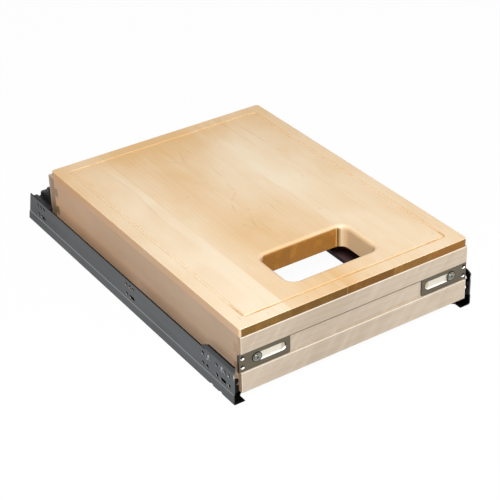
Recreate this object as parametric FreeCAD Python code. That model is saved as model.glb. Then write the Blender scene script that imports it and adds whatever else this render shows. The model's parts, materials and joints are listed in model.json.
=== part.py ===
import FreeCAD, Part

import math
import os

# Cutting board on a shallow drawer box with full-extension undermount runners.
# Millimetres. X runs across, Y runs from the front to the back, Z runs up.
# The origin is under the middle of the whole part, on the surface that the runners stand on.

Vector = FreeCAD.Vector

# ---------------------------------------------------------------- driving dimensions

# Drawer box
box_width = 357.0
box_depth = 501.0
box_height = 82.0
box_rise = 15.0                 # box bottom edge above the base of the runners
side_thickness = 16.0
front_thickness = 16.0
back_thickness = 25.4
edge_ease = 0.8                 # eased top edge of the front panel
past = 1.0                      # how far a cutter reaches past the face that it opens

# Box bottom
bottom_thickness = 6.0
bottom_recess = 12.7            # underside of the bottom panel above the box's lower edge
bottom_tongue = 6.0             # how far the panel reaches into the walls
tongue_play = 0.15
window_half_width = 87.6
window_front = 38.0             # from the box's front face
window_length = 165.0
window_corner = 12.0

# Half-blind dovetails
tail_length = 9.5
tail_pitch = 28.4
first_pin_height = 4.7
pin_root_width = 11.2
pin_tip_width = 14.6

# Routed channel across the front
channel_bottom = 29.3           # above the box's lower edge
channel_height = 28.4
channel_depth = 4.0
channel_ease = 0.6              # eased lower edge of the channel

# Cutting board
board_thickness = 31.75
board_lip = 11.75               # thickness of the lip that lies on the box walls
board_front_setback = 1.4
board_back_setback = 10.6
board_plug_play = 0.9           # between the board's rebate and the box walls
board_corner_radius = 5.0
board_edge_round = 1.2

# Scrap hole in the board
hole_width = 137.5
hole_length = 75.0
hole_front = 50.6               # from the box's front face
hole_corner_radius = 13.0
hole_edge_round = 6.0

# Juice groove
groove_inset_side = 20.5
groove_inset_end = 20.8
groove_radius = 2.6
groove_depth = 1.1
groove_corner_radius = 5.0

# Slotted front brackets
bracket_thickness = 1.8
bracket_height_play = 1.2       # in the channel
bracket_length = 76.6
bracket_overhang = 0.6          # gap between the box side and the returned end
bracket_return = 3.2
bracket_corner_radius = 3.0
slot_height = 12.4              # across its bevelled edge
slot_bevel = 1.3
slot_inner_margin = 6.0
bracket_bend_radius = 1.6       # outside of the returned end
front_screw_hole_radius = 2.2
front_screw_sink = 0.9          # depth of the countersink, which widens as much as it is deep
front_screw_spacing = 13.2
front_screw_edge = 5.6          # hole centre from the bracket's outer end

# Bracket screw and washer
bracket_screw_inset = 24.5      # screw axis from the box side
bracket_screw_radius = 2.1
bracket_screw_length = 14.0
screw_head_radius = 4.6
screw_head_height = 1.5
screw_head_round = 0.9
screw_recess_width = 1.1
screw_recess_length = 5.0
screw_recess_depth = 1.1
screw_point_length = 4.2
screw_point_radius = 0.4
screw_bottom_play = 1.0         # air under the tip of the screw
washer_radius = 7.3
washer_thickness = 0.7
washer_round = 0.3
pilot_play = 0.05

# Runner: cabinet profile
runner_gap = 12.0               # box side to the outer face of the runner
runner_front_setback = 1.5
runner_behind_box = 59.0        # runner's rear end behind the box's back face
steel = 1.5
wall_height = 48.5
joggle_height = 15.0
joggle_step = 0.9
joggle_run = 1.2                # height over which the wall steps in
wall_rear_rake = 12.6           # the wall's rear end leans forward by this much at its top
flange_front_width = 16.8
flange_front_length = 11.5
base_shoulder = 9.0             # the base widens at 45 degrees behind its narrow front end
rail_reach = 1.3                # rail's inner edge past the drawer profile's inner leg
rail_lip_height = 9.0
ear_length = 58.0
ear_ramp = 16.0
ear_rise = 7.0
ear_lean = 3.4
ear_corner_radius = 6.0
front_flange_low = 18.0         # the wall's front edge, turned in beside the box
front_flange_high = 38.5
front_flange_play = 1.0         # to the front bracket's turned end
front_flange_corner_radius = 2.0
front_notch_height = 5.0
front_notch_depth = 3.6
front_notch_rise = 30.3         # middle of the notch above the runner's base
bend_radius = 1.2

# Runner: screw holes on the 32 mm system
system_pitch = 32.0
first_hole_setback = 38.0       # from the front end of the runner
middle_cluster_steps = 7
rear_hole_setback = 35.5        # from the rear end of the runner
upper_hole_height = 39.0
lower_hole_height = 23.7
wall_hole_radius = 3.0
wall_slot_length = 14.0
wall_slot_height = 5.8
front_upper_holes = (0.0, 18.2, 27.8)       # forward of the first hole
front_lower_holes = (0.0, 27.8)
front_slot_rear = 7.2
second_lower_holes = (0.0, 9.6)             # forward of the hole one pitch behind the first
rear_upper_holes = (0.0, 9.6, 18.7)         # forward of each rear cluster's first hole
rear_slot_rear = 6.7
tab_places = (9.6, -21.0)       # middles of the pressed tabs, forward of the first hole
tab_window_length = 7.6
tab_window_rise = 4.0           # above the upper holes' height
tab_window_drop = 4.4           # below it
tab_thickness = 1.0
tab_lean = 2.4                  # how far the tab's top leans in
tab_root = 0.9                  # part of the tab inside the wall below its window
tab_side_play = 0.5
tab_top_play = 0.6
notch_height = 4.2
notch_length = 9.4
notch_first = 30.5
notch_spacing = 20.5

# Runner: rollers and their carriages
roller_radius = 3.0
roller_width = 7.6
roller_round = 0.5
roller_play = 0.15
trunnion_radius = 1.0
trunnion_play = 0.06
trunnion_end_play = 0.1
carriage_width = 12.4
carriage_corner_radius = 2.0
carriage_rib = 4.0              # ribs left between the lightening windows
carriage_thickness = 3.2
carriage_length = 200.0
carriage_end = 9.0              # roller axis from the carriage's end
roller_pocket_play = 0.5
lower_carriage_start = 158.5    # from the front end of the runner
upper_carriage_start = 163.5

# Runner: intermediate profile
middle_side_play = 0.7          # to the drawer profile's legs
middle_wall = 1.2
middle_front_play = 1.0         # front stop to the box front's back face
middle_back_inset = 2.0         # from the box's back face
middle_corner_radius = 1.6
front_stop_length = 5.0
rear_stop_length = 1.0
stop_inset = 0.3                # the stop's head inside the profile's outline
stop_corner_radius = 0.8
stop_plug = 8.0
stop_play = 0.1

# Runner: drawer profile
drawer_profile_width = 18.4
drawer_profile_side_play = 0.3  # to the box side
drawer_profile_lip_play = 1.0   # above the rail's turned-up edge
drawer_profile_front_play = 0.6
steel_bend = 1.6

# Rear hook
hook_thickness = 1.6
hook_rise = 17.0
hook_width = 18.0
hook_corner_radius = 3.0
hook_pin_radius = 3.0
hook_pin_round = 1.2
hook_pin_length = 10.0
hook_pin_height = 9.0           # above the drawer profile
hook_play = 0.3
hook_foot_length = 13.0
hook_foot_play = 0.1            # to the bends of the drawer profile
rivet_radius = 1.6
rivet_spacing = 6.6
rivet_head_radius = 2.4
rivet_head_height = 1.0
rivet_head_round = 0.7

# Damper housing at the rear of each runner
damper_gap = 6.6                # drawer profile's hook to the housing
damper_length = 35.5
damper_width = 31.6
damper_bend_play = 0.2          # to the bend of the rail's turned-up edge
damper_height = 43.0
damper_round = 2.0
ridge_rise = 5.0                # ridge along the outer side, above the housing's top
ridge_width = 10.0
ridge_setback = 16.0            # from the housing's rear end
damper_wall = 2.5               # behind the plunger's bore
fence_box_play = 1.1            # the low fence between the box side and the runner's wall
fence_wall_play = 0.5
fence_lap = 6.0                 # in front of the box's back face
fence_height = 46.0
fence_round = 3.0
fence_top_round = 2.0
peg_radius = 2.5
peg_play = 0.1
peg_inset = 8.0
peg_tip_gap = 0.3               # peg's end above the runner's base
knob_width = 10.0
knob_setback = 13.8             # centre of the knob's round end, from the housing's rear end
knob_rise = 3.5                 # that centre above the housing's top
knob_radius = 9.0
knob_shoulder_rise = 15.5       # above the centre of the round end
knob_shoulder_run = 10.2        # in front of it
knob_top_rise = 22.5
knob_top_run = 16.2
knob_round = 1.2
knob_recess_depth = 2.0
knob_rim = 2.8

# Damper plunger
plunger_radius = 2.5
plunger_play = 0.08
plunger_end_play = 0.6
plunger_tip_radius = 4.2
plunger_tip_length = 4.6
plunger_tip_round = 0.9
plunger_height = 33.0

# Locking clip and release lever under the front corners
clip_gap = 1.2                  # drawer profile to the clip
clip_width = 28.0
clip_length = 50.0
clip_plate = 2.5
clip_corner_radius = 3.0
clip_front_gap = 1.2
clip_guard = 2.0                # thickness of the guard beside the lever
clip_guard_inset = 4.0
lever_pivot_inset = 8.6         # from the clip's outer edge
lever_pivot_setback = 19.0      # from the clip's front edge
pivot_radius = 2.5
pivot_play = 0.06
lever_thickness = 5.4
lever_gap = 0.6
pivot_root = 0.5                # how far the pivot and the guard grow into the plate
pivot_overhang = 0.5            # pivot's end below the lever
lever_boss_radius = 5.0
lever_arm_width = 5.0
lever_reach = 24.0
lever_catch_length = 6.0
lever_handle_reach = 15.5
lever_handle_outer = 5.2
lever_handle_inner = 7.8
lever_handle_length = 5.0
lever_handle_lap = 2.0          # part of the handle in front of the neck
lever_handle_drop = 2.5
lever_handle_round = 1.2
catch_engagement = 1.9
catch_play = 0.6                # above and below the catch in its window
catch_swing_play = 1.6          # in front of and behind it, for the lever's swing
clip_screw_radius = 1.5
clip_screw_head_radius = 3.2
clip_screw_head_height = 1.6
clip_screw_head_round = 0.6
clip_screw_bite = 4.6
clip_screw_inset = 6.0          # from the clip's inner edge
clip_screw_setback = 8.0        # from the clip's ends
screw_root = 0.2                # how far a shank grows into its head

# ---------------------------------------------------------------- derived places

overall_depth = box_depth + runner_behind_box
front_face = -overall_depth / 2
back_face = front_face + box_depth
runner_front = front_face + runner_front_setback
runner_back = back_face + runner_behind_box

half_box = box_width / 2
half_inner = half_box - side_thickness
half_runner = half_box + runner_gap
box_floor = box_rise
box_top = box_floor + box_height
front_inner = front_face + front_thickness
back_inner = back_face - back_thickness

panel_under = box_floor + bottom_recess
panel_over = panel_under + bottom_thickness

board_top = box_top + board_lip
board_under = board_top - board_thickness
board_front = front_face + board_front_setback
board_back = back_face - board_back_setback
hole_start = front_face + hole_front
hole_end = hole_start + hole_length

channel_floor = front_face + channel_depth
channel_low = box_floor + channel_bottom
channel_mid = channel_low + channel_height / 2
bracket_height = channel_height - bracket_height_play
bracket_face = channel_floor - bracket_thickness
bracket_outer = half_box + bracket_overhang + bracket_thickness
bracket_inner = bracket_outer - bracket_length
bracket_screw_x = half_box - bracket_screw_inset

# The load path, from the cabinet profile's flange up to the drawer profile
lower_roller_z = steel + roller_play + roller_radius
middle_under = lower_roller_z + roller_radius + roller_play
upper_roller_z = panel_under - steel - roller_play - roller_radius
middle_over = upper_roller_z - roller_radius - roller_play
drawer_profile_outer = half_inner - drawer_profile_side_play
drawer_profile_inner = drawer_profile_outer - drawer_profile_width
rail_x = drawer_profile_outer - drawer_profile_width / 2
rail_edge = drawer_profile_inner - rail_reach
drawer_profile_front = front_inner + drawer_profile_front_play
drawer_profile_back = back_face + hook_play
profile_low = rail_lip_height + drawer_profile_lip_play
hook_pin_z = panel_under + hook_pin_height
first_hole_y = runner_front + first_hole_setback
middle_front = front_inner + front_stop_length + middle_front_play
middle_back = back_face - middle_back_inset
middle_width = drawer_profile_width - 2 * (steel + middle_side_play)
hook_foot_width = drawer_profile_width - 2 * (steel + steel_bend + hook_foot_play)

clip_outer = drawer_profile_inner - clip_gap
clip_inner = clip_outer - clip_width
clip_front = front_inner + clip_front_gap
clip_back = clip_front + clip_length
clip_under = panel_under - clip_plate
lever_x = clip_outer - lever_pivot_inset
lever_y = clip_front + lever_pivot_setback
lever_top = clip_under - lever_gap
lever_under = lever_top - lever_thickness

damper_front = drawer_profile_back + hook_thickness + damper_gap
damper_back = damper_front + damper_length
damper_inner = rail_edge + steel + bend_radius + damper_bend_play
damper_outer = damper_inner + damper_width
ridge_top = damper_height + ridge_rise
knob_z = damper_height + knob_rise
fence_inner = half_box + fence_box_play
fence_outer = half_runner - joggle_step - steel - fence_wall_play
plunger_front = damper_front - damper_gap
bore_end = damper_back - damper_wall


# ---------------------------------------------------------------- shape helpers

def block(x0, x1, y0, y1, z0, z1):
    corner = Vector(min(x0, x1), min(y0, y1), min(z0, z1))
    return Part.makeBox(abs(x1 - x0), abs(y1 - y0), abs(z1 - z0), corner)


def rod(start, end, radius):
    axis = Vector(*end) - Vector(*start)
    return Part.makeCylinder(radius, axis.Length, Vector(*start), axis)


def prism(points, direction):
    wire = Part.makePolygon([Vector(*p) for p in points] + [Vector(*points[0])])
    return Part.Face(wire).extrude(Vector(*direction))


def joined(shapes):
    whole = shapes[0]
    for shape in shapes[1:]:
        whole = whole.fuse(shape)
    return whole.removeSplitter()


def without(shape, cutters):
    for cutter in cutters:
        shape = shape.cut(cutter)
    return shape


def rounded(shape, radius, chosen):
    return shape.makeFillet(radius, [edge for edge in shape.Edges if chosen(edge)])


def near(a, b):
    return abs(a - b) < 1e-4


def runs_along(edge, axis):
    """True where a straight edge runs along axis 0, 1 or 2."""
    if len(edge.Vertexes) != 2:
        return False
    span = edge.Vertexes[1].Point - edge.Vertexes[0].Point
    return near(abs(span[axis]), span.Length)


def lies_at_y(edge, y):
    return near(edge.BoundBox.YMin, y) and near(edge.BoundBox.YMax, y)


def lies_at_z(edge, z):
    return near(edge.BoundBox.ZMin, z) and near(edge.BoundBox.ZMax, z)


def slot_along_x(x0, x1, z, height, y0, y1):
    """A slot with round ends, cut through along Y."""
    radius = height / 2
    middle = block(x0 + radius, x1 - radius, y0, y1, z - radius, z + radius)
    ends = [rod((x, y0, z), (x, y1, z), radius) for x in (x0 + radius, x1 - radius)]
    return joined([middle] + ends)


def slot_along_y(y0, y1, z, height, x0, x1):
    """A slot with round ends, cut through along X."""
    radius = height / 2
    middle = block(x0, x1, y0 + radius, y1 - radius, z - radius, z + radius)
    ends = [rod((x0, y, z), (x1, y, z), radius) for y in (y0 + radius, y1 - radius)]
    return joined([middle] + ends)


def mirrored(shape):
    return shape.mirror(Vector(0, 0, 0), Vector(1, 0, 0))


def bent_section(path, thickness, y0, y1):
    """A bent sheet. The path holds (x, z, inside radius) of one face, the sheet lies on its left."""
    normals = []
    for (xa, za, _), (xb, zb, _) in zip(path, path[1:]):
        length = math.hypot(xb - xa, zb - za)
        normals.append((-(zb - za) / length, (xb - xa) / length))
    befores = normals[:1] + normals
    afters = normals + normals[-1:]
    outer = [(x, z) for x, z, _ in path]
    inner = []
    for (x, z), before, after in zip(outer, befores, afters):
        share = thickness / (1 + before[0] * after[0] + before[1] * after[1])
        inner.append((x + share * (before[0] + after[0]), z + share * (before[1] + after[1])))
    sheet = prism([(x, y0, z) for x, z in outer + inner[::-1]], (0, y1 - y0, 0))
    for i in range(1, len(path) - 1):
        radius = path[i][2]
        if radius:
            turn = normals[i - 1][0] * normals[i][1] - normals[i - 1][1] * normals[i][0]
            radii = [radius + abs(thickness), radius]
            if (turn > 0) != (thickness > 0):
                radii.reverse()
            for corner, bend in zip((outer[i], inner[i]), radii):
                sheet = rounded(sheet, bend, lambda e: is_bend(e, corner))
    return sheet


def is_bend(edge, corner):
    if not runs_along(edge, 1):
        return False
    point = edge.Vertexes[0].Point
    return near(point.x, corner[0]) and near(point.z, corner[1])


# ---------------------------------------------------------------- drawer box

def pin_prisms(shoulder, tail_end):
    """The gaps that the pins of the front or back panel fill in a side's end."""
    prisms = []
    pin = first_pin_height
    x = -half_box - past
    while pin - pin_tip_width / 2 < box_height:
        z = box_floor + pin
        points = [
            (x, tail_end, z - pin_root_width / 2),
            (x, shoulder, z - pin_tip_width / 2),
            (x, shoulder, z + pin_tip_width / 2),
            (x, tail_end, z + pin_root_width / 2),
        ]
        prisms.append(prism(points, (-2 * x, 0, 0)))
        pin += tail_pitch
    return prisms


def side_blank():
    """The right side with its tails, before the bottom groove is cut."""
    front_end = front_inner - tail_length
    back_end = back_inner + tail_length
    board = block(half_inner, half_box, front_end, back_end, box_floor, box_top)
    board = without(board, pin_prisms(front_inner, front_end))
    return without(board, pin_prisms(back_inner, back_end))


def bottom_blank(play):
    """The bottom panel's outline, grown by the play where it is used to cut the grooves."""
    reach = half_inner + bottom_tongue + play
    return block(-reach, reach, front_inner - bottom_tongue - play, back_inner + bottom_tongue + play,
                 panel_under, panel_over + play)


def box_front(sides):
    panel = block(-half_box, half_box, front_face, front_inner, box_floor, box_top)
    panel = rounded(panel, edge_ease, lambda e: lies_at_y(e, front_face) and lies_at_z(e, box_top))
    panel = without(panel, sides + [bottom_blank(tongue_play)])
    channel = block(-half_box - past, half_box + past, front_face - past, channel_floor,
                    channel_low, channel_low + channel_height)
    panel = rounded(panel.cut(channel), channel_ease,
                    lambda e: lies_at_y(e, front_face) and lies_at_z(e, channel_low))
    pilot_end = bracket_face - washer_thickness + bracket_screw_length + screw_bottom_play
    pilots = [rod((x, channel_floor - past, channel_mid), (x, pilot_end, channel_mid),
                  bracket_screw_radius + pilot_play) for x in (-bracket_screw_x, bracket_screw_x)]
    return without(panel, pilots)


def box_back(sides):
    """The back panel, notched for the drawer profiles and bored for the hooks' pins."""
    panel = block(-half_box, half_box, back_inner, back_face, box_floor, box_top)
    panel = without(panel, sides + [bottom_blank(tongue_play)])
    for side in (-1, 1):
        notch = block(side * (drawer_profile_outer + hook_play), side * (drawer_profile_inner - hook_play),
                      back_inner - past, back_face + past, box_floor - past, panel_under + hook_play)
        bore = rod((side * rail_x, back_face - hook_pin_length - hook_play, hook_pin_z),
                   (side * rail_x, back_face + past, hook_pin_z), hook_pin_radius + hook_play)
        panel = without(panel, [notch, bore])
    return panel


def box_bottom():
    panel = bottom_blank(0)
    start = front_face + window_front
    window = block(-window_half_width, window_half_width, start, start + window_length,
                   panel_under - past, panel_over + past)
    window = rounded(window, window_corner, lambda e: runs_along(e, 2))
    pilot_end = panel_under + clip_screw_bite + screw_root
    pilots = [rod((side * x, y, panel_under - past), (side * x, y, pilot_end), clip_screw_radius + pilot_play)
              for side in (-1, 1) for x, y in clip_screw_places()]
    return without(panel, [window] + pilots)


# ---------------------------------------------------------------- cutting board

def groove_cutter():
    """A round bar bent to the rounded rectangle that the juice groove follows."""
    half_x = half_box - groove_inset_side - groove_corner_radius
    y0 = board_front + groove_inset_end + groove_corner_radius
    y1 = board_back - groove_inset_end - groove_corner_radius
    z = board_top + groove_radius - groove_depth
    arcs = []
    for x, y, start in ((half_x, y0, -90), (half_x, y1, 0), (-half_x, y1, 90), (-half_x, y0, 180)):
        points = []
        for turn in (0, 45, 90):
            angle = math.radians(start + turn)
            points.append(Vector(x + groove_corner_radius * math.cos(angle),
                                 y + groove_corner_radius * math.sin(angle), z))
        arcs.append(Part.Arc(*points))
    edges = []
    for arc, following in zip(arcs, arcs[1:] + arcs[:1]):
        edges.append(arc.toShape())
        edges.append(Part.LineSegment(arc.EndPoint, following.StartPoint).toShape())
    direction = edges[0].tangentAt(edges[0].FirstParameter)
    section = Part.Circle(arcs[0].StartPoint, direction, groove_radius)
    return Part.Wire(edges).makePipeShell([Part.Wire(section.toShape())], True, True)


def cutting_board():
    """A lip that lies on the box walls, and a plug that drops in between them."""
    lip = block(-half_box, half_box, board_front, board_back, box_top, board_top)
    lip = rounded(lip, board_corner_radius, lambda e: runs_along(e, 2))
    lip = rounded(lip, board_edge_round, lambda e: lies_at_z(e, board_top))
    plug_x = half_inner - board_plug_play
    plug = block(-plug_x, plug_x, front_inner + board_plug_play, back_inner - board_plug_play,
                 board_under, board_top - board_lip / 2)
    hole = block(-hole_width / 2, hole_width / 2, hole_start, hole_end, board_under - past, board_top + past)
    hole = rounded(hole, hole_corner_radius, lambda e: runs_along(e, 2))
    board = joined([lip, plug]).cut(hole)
    hole_reach = math.hypot(hole_width, hole_length) / 2
    hole_centre = Vector(0, (hole_start + hole_end) / 2, board_top)
    board = rounded(board, hole_edge_round, lambda e: lies_at_z(e, board_top)
                    and (e.CenterOfMass - hole_centre).Length < hole_reach)
    return board.cut(groove_cutter())


# ---------------------------------------------------------------- front brackets (right hand)

def front_bracket():
    low = channel_mid - bracket_height / 2
    high = channel_mid + bracket_height / 2
    plate = block(bracket_inner, bracket_outer, bracket_face, channel_floor, low, high)
    plate = rounded(plate, bracket_corner_radius,
                    lambda e: runs_along(e, 1) and near(e.BoundBox.XMin, bracket_inner))
    turned = block(bracket_outer - bracket_thickness, bracket_outer,
                   bracket_face, bracket_face + bracket_return, low, high)
    bracket = rounded(joined([plate, turned]), bracket_bend_radius,
                      lambda e: runs_along(e, 2) and near(e.BoundBox.XMin, bracket_outer)
                      and lies_at_y(e, bracket_face))
    slot_start = bracket_inner + slot_inner_margin
    slot_end = bracket_screw_x + slot_height / 2
    bracket = bracket.cut(slot_along_x(slot_start + slot_bevel, slot_end - slot_bevel, channel_mid,
                                       slot_height - 2 * slot_bevel, bracket_face - past,
                                       channel_floor + past))
    rim = [e for e in bracket.Edges if lies_at_y(e, bracket_face)
           and slot_start < e.CenterOfMass.x < slot_end
           and abs(e.CenterOfMass.z - channel_mid) < slot_height / 2]
    bracket = bracket.makeChamfer(slot_bevel, rim)
    cutters = []
    x = bracket_outer - front_screw_edge
    for side in (-1, 1):
        z = channel_mid + side * front_screw_spacing / 2
        cutters.append(rod((x, bracket_face - past, z), (x, channel_floor + past, z),
                           front_screw_hole_radius))
        cutters.append(Part.makeCone(front_screw_hole_radius + front_screw_sink, front_screw_hole_radius,
                                     front_screw_sink, Vector(x, bracket_face, z), Vector(0, 1, 0)))
    return without(bracket, cutters)


def bracket_washer():
    x = bracket_screw_x
    z = channel_mid
    y0 = bracket_face - washer_thickness
    ring = rod((x, y0, z), (x, bracket_face, z), washer_radius)
    ring = rounded(ring, washer_round, lambda e: lies_at_y(e, y0))
    return ring.cut(rod((x, y0 - past, z), (x, channel_floor, z), bracket_screw_radius + pilot_play))


def bracket_screw():
    """A pan head screw with a cross recess, through the washer and the slot into the front panel."""
    x = bracket_screw_x
    z = channel_mid
    seat = bracket_face - washer_thickness
    crown = seat - screw_head_height
    point_start = seat + bracket_screw_length - screw_point_length
    shank = rod((x, seat, z), (x, point_start, z), bracket_screw_radius)
    point = Part.makeCone(bracket_screw_radius, screw_point_radius, screw_point_length,
                          Vector(x, point_start, z), Vector(0, 1, 0))
    head = rod((x, crown, z), (x, seat, z), screw_head_radius)
    head = rounded(head, screw_head_round, lambda e: lies_at_y(e, crown))
    half = screw_recess_width / 2
    arm = screw_recess_length / 2
    recess_end = crown + screw_recess_depth
    recess = [block(x - arm, x + arm, crown - past, recess_end, z - half, z + half),
              block(x - half, x + half, crown - past, recess_end, z - arm, z + arm)]
    return without(joined([shank, point, head]), recess)


# ---------------------------------------------------------------- runners (right hand)

def wall_pattern():
    """Screw holes, slots and pressed windows through the runner's upright wall."""
    x0 = half_runner - joggle_step - steel - past
    x1 = half_runner + past
    middle = first_hole_y + middle_cluster_steps * system_pitch
    rear = runner_back - rear_hole_setback
    clusters = (
        (first_hole_y, front_upper_holes, front_lower_holes),
        (first_hole_y + system_pitch, (0.0,), second_lower_holes),
        (middle, rear_upper_holes, (0.0,)),
        (rear, rear_upper_holes, (0.0,)),
    )
    cutters = []
    for y, uppers, lowers in clusters:
        for height, places in ((upper_hole_height, uppers), (lower_hole_height, lowers)):
            for forward in places:
                cutters.append(rod((x0, y - forward, height), (x1, y - forward, height), wall_hole_radius))
    for y in (first_hole_y - front_slot_rear, middle - rear_slot_rear, rear - rear_slot_rear):
        cutters.append(slot_along_y(y - wall_slot_length, y, lower_hole_height, wall_slot_height, x0, x1))
    for forward in tab_places:
        y = first_hole_y - forward
        cutters.append(block(x0, x1, y - tab_window_length / 2, y + tab_window_length / 2,
                             upper_hole_height - tab_window_drop, upper_hole_height + tab_window_rise))
    return cutters


def pressed_tabs():
    """Tabs lanced out of the wall, each joined to it at its lower edge and leaning inwards."""
    low = upper_hole_height - tab_window_drop - tab_root
    high = upper_hole_height + tab_window_rise - tab_top_play
    foot = half_runner - joggle_step - (steel - tab_thickness) / 2
    length = tab_window_length - 2 * tab_side_play
    tabs = []
    for forward in tab_places:
        y = first_hole_y - forward - length / 2
        tabs.append(prism([(foot, y, low), (foot - tab_lean, y, high),
                           (foot - tab_lean - tab_thickness, y, high), (foot - tab_thickness, y, low)],
                          (0, length, 0)))
    return tabs


def base_notches():
    """Round-ended notches in the lower edge of the runner's wall."""
    notches = []
    for i in range(2):
        y = runner_front + notch_first + i * notch_spacing
        notches.append(slot_along_y(y - notch_length / 2, y + notch_length / 2, 0, 2 * notch_height,
                                    half_runner - steel - past, half_runner + past))
    return notches


def cabinet_profile():
    """The fixed rail: an upright wall with a stepped-in upper part, and a base turned up at its edge."""
    upper_x = half_runner - joggle_step
    wall = [
        (upper_x, wall_height, 0),
        (upper_x, joggle_height + joggle_run, 0),
        (half_runner, joggle_height, 0),
        (half_runner, 0, bend_radius),
    ]
    rail = [(rail_edge, 0, bend_radius), (rail_edge, rail_lip_height, 0)]
    nose_x = half_runner - flange_front_width
    nose = [(nose_x, 0, 0)]
    split = runner_front + flange_front_length
    profile = joined([bent_section(wall + rail, -steel, split, runner_back),
                      bent_section(wall + nose, -steel, runner_front, split),
                      ear_lip(upper_x), front_flange(upper_x)])
    x = rail_edge - past
    rake = prism([(x, runner_back, 0), (x, runner_back - wall_rear_rake, wall_height),
                  (x, runner_back + past, wall_height + past), (x, runner_back + past, 0)],
                 (half_runner + past - x, 0, 0))
    wide = split + base_shoulder
    shoulder = prism([(nose_x, split, -past), (nose_x - base_shoulder, wide, -past), (x, wide, -past),
                      (x, split - past, -past)], (0, 0, rail_lip_height + 2 * past))
    peg_holes = [peg(x, y, peg_radius + peg_play, -past) for x, y in peg_places()]
    profile = without(profile, wall_pattern() + base_notches() + peg_holes + [rake, shoulder])
    return joined([profile] + pressed_tabs())


def ear_lip(upper_x):
    """The wall's front end rises and leans in over the rail."""
    top = wall_height + ear_rise
    ear = [(upper_x, wall_height - steel, 0), (upper_x, wall_height, 0), (upper_x - ear_lean, top, 0)]
    end = runner_front + ear_length + ear_ramp
    lip = bent_section(ear, steel, runner_front, end)
    x0 = upper_x - ear_lean - 2 * steel
    x1 = upper_x + past
    ramp = prism([(x0, end - ear_ramp, top + past), (x0, end + past, top + past),
                  (x0, end + past, wall_height), (x0, end, wall_height)], (x1 - x0, 0, 0))
    round_y = runner_front + ear_corner_radius
    round_z = top - ear_corner_radius
    corner = block(x0, x1, runner_front - past, round_y, round_z, top + past)
    round_end = rod((x0 - past, round_y, round_z), (x1 + past, round_y, round_z), ear_corner_radius)
    return without(lip, [ramp, corner.cut(round_end)])


def front_flange(upper_x):
    """The wall's front edge turned in towards the box, with an open notch."""
    x0 = bracket_outer + front_flange_play
    flange = block(x0, upper_x, runner_front, runner_front + steel, front_flange_low, front_flange_high)
    flange = rounded(flange, front_flange_corner_radius,
                     lambda e: runs_along(e, 1) and near(e.BoundBox.XMax, x0))
    notch = slot_along_x(x0 - front_notch_height, x0 + front_notch_depth, front_notch_rise,
                         front_notch_height, runner_front - past, runner_front + steel + past)
    return flange.cut(notch)


def intermediate_profile():
    x0 = rail_x - middle_width / 2
    x1 = rail_x + middle_width / 2
    tube = block(x0, x1, middle_front, middle_back, middle_under, middle_over)
    tube = rounded(tube, middle_corner_radius, lambda e: runs_along(e, 1))
    core = block(x0 + middle_wall, x1 - middle_wall, middle_front - past, middle_back + past,
                 middle_under + middle_wall, middle_over - middle_wall)
    return tube.cut(core)


def intermediate_stops():
    """End stops, one plugged into each end of the intermediate profile."""
    head_x = middle_width / 2 - stop_inset
    plug_x = middle_width / 2 - middle_wall - stop_play
    plug_inset = middle_wall + stop_play
    stops = []
    for end, outward, length in ((middle_front, -1, front_stop_length), (middle_back, 1, rear_stop_length)):
        head = block(rail_x - head_x, rail_x + head_x, end, end + outward * length,
                     middle_under + stop_inset, middle_over - stop_inset)
        head = rounded(head, stop_corner_radius, lambda e: runs_along(e, 1))
        plug = block(rail_x - plug_x, rail_x + plug_x, end + outward * length / 2, end - outward * stop_plug,
                     middle_under + plug_inset, middle_over - plug_inset)
        stops.append(joined([head, plug]))
    return Part.makeCompound(stops)


def drawer_profile():
    """The moving channel under the box, with a window for the release lever's catch."""
    x0 = drawer_profile_inner
    x1 = drawer_profile_outer
    top = panel_under
    path = [(x0, profile_low, 0), (x0, top, steel_bend), (x1, top, steel_bend), (x1, profile_low, 0)]
    channel = bent_section(path, -steel, drawer_profile_front, drawer_profile_back)
    catch_end = lever_y + lever_reach
    window = block(x0 - past, x0 + steel + past,
                   catch_end - lever_catch_length - catch_swing_play, catch_end + catch_swing_play,
                   lever_under - catch_play, lever_top + catch_play)
    holes = [rod((x, y, top - steel - past), (x, y, top + past), rivet_radius)
             for x, y in hook_rivet_places()]
    return without(channel, [window] + holes)


def hook_rivet_places():
    y = drawer_profile_back - hook_foot_length / 2
    return [(rail_x - rivet_spacing / 2, y), (rail_x + rivet_spacing / 2, y)]


def carriage_axles(start):
    """Where the two rollers of a carriage sit along Y."""
    front = runner_front + start + carriage_end
    return [front, front + carriage_length - 2 * carriage_end]


def carriage(z, start):
    """A flat roller cage with a pocket for each roller and two lightening windows."""
    x0 = rail_x - carriage_width / 2
    x1 = rail_x + carriage_width / 2
    y0 = runner_front + start
    bar = block(x0, x1, y0, y0 + carriage_length, z - carriage_thickness / 2, z + carriage_thickness / 2)
    bar = rounded(bar, carriage_corner_radius, lambda e: runs_along(e, 2))
    axles = carriage_axles(start)
    pocket_x = roller_width / 2 + roller_pocket_play
    pocket_y = roller_radius + roller_pocket_play
    openings = [(y - pocket_y, y + pocket_y) for y in axles]
    inner_front = axles[0] + pocket_y + carriage_rib
    inner_back = axles[1] - pocket_y - carriage_rib
    middle = (inner_front + inner_back) / 2
    openings += [(inner_front, middle - carriage_rib / 2), (middle + carriage_rib / 2, inner_back)]
    cutters = [block(rail_x - pocket_x, rail_x + pocket_x, front, back, z - roller_radius, z + roller_radius)
               for front, back in openings]
    cutters += [rod((x0 - past, y, z), (x1 + past, y, z), trunnion_radius + trunnion_play) for y in axles]
    return without(bar, cutters)


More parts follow.
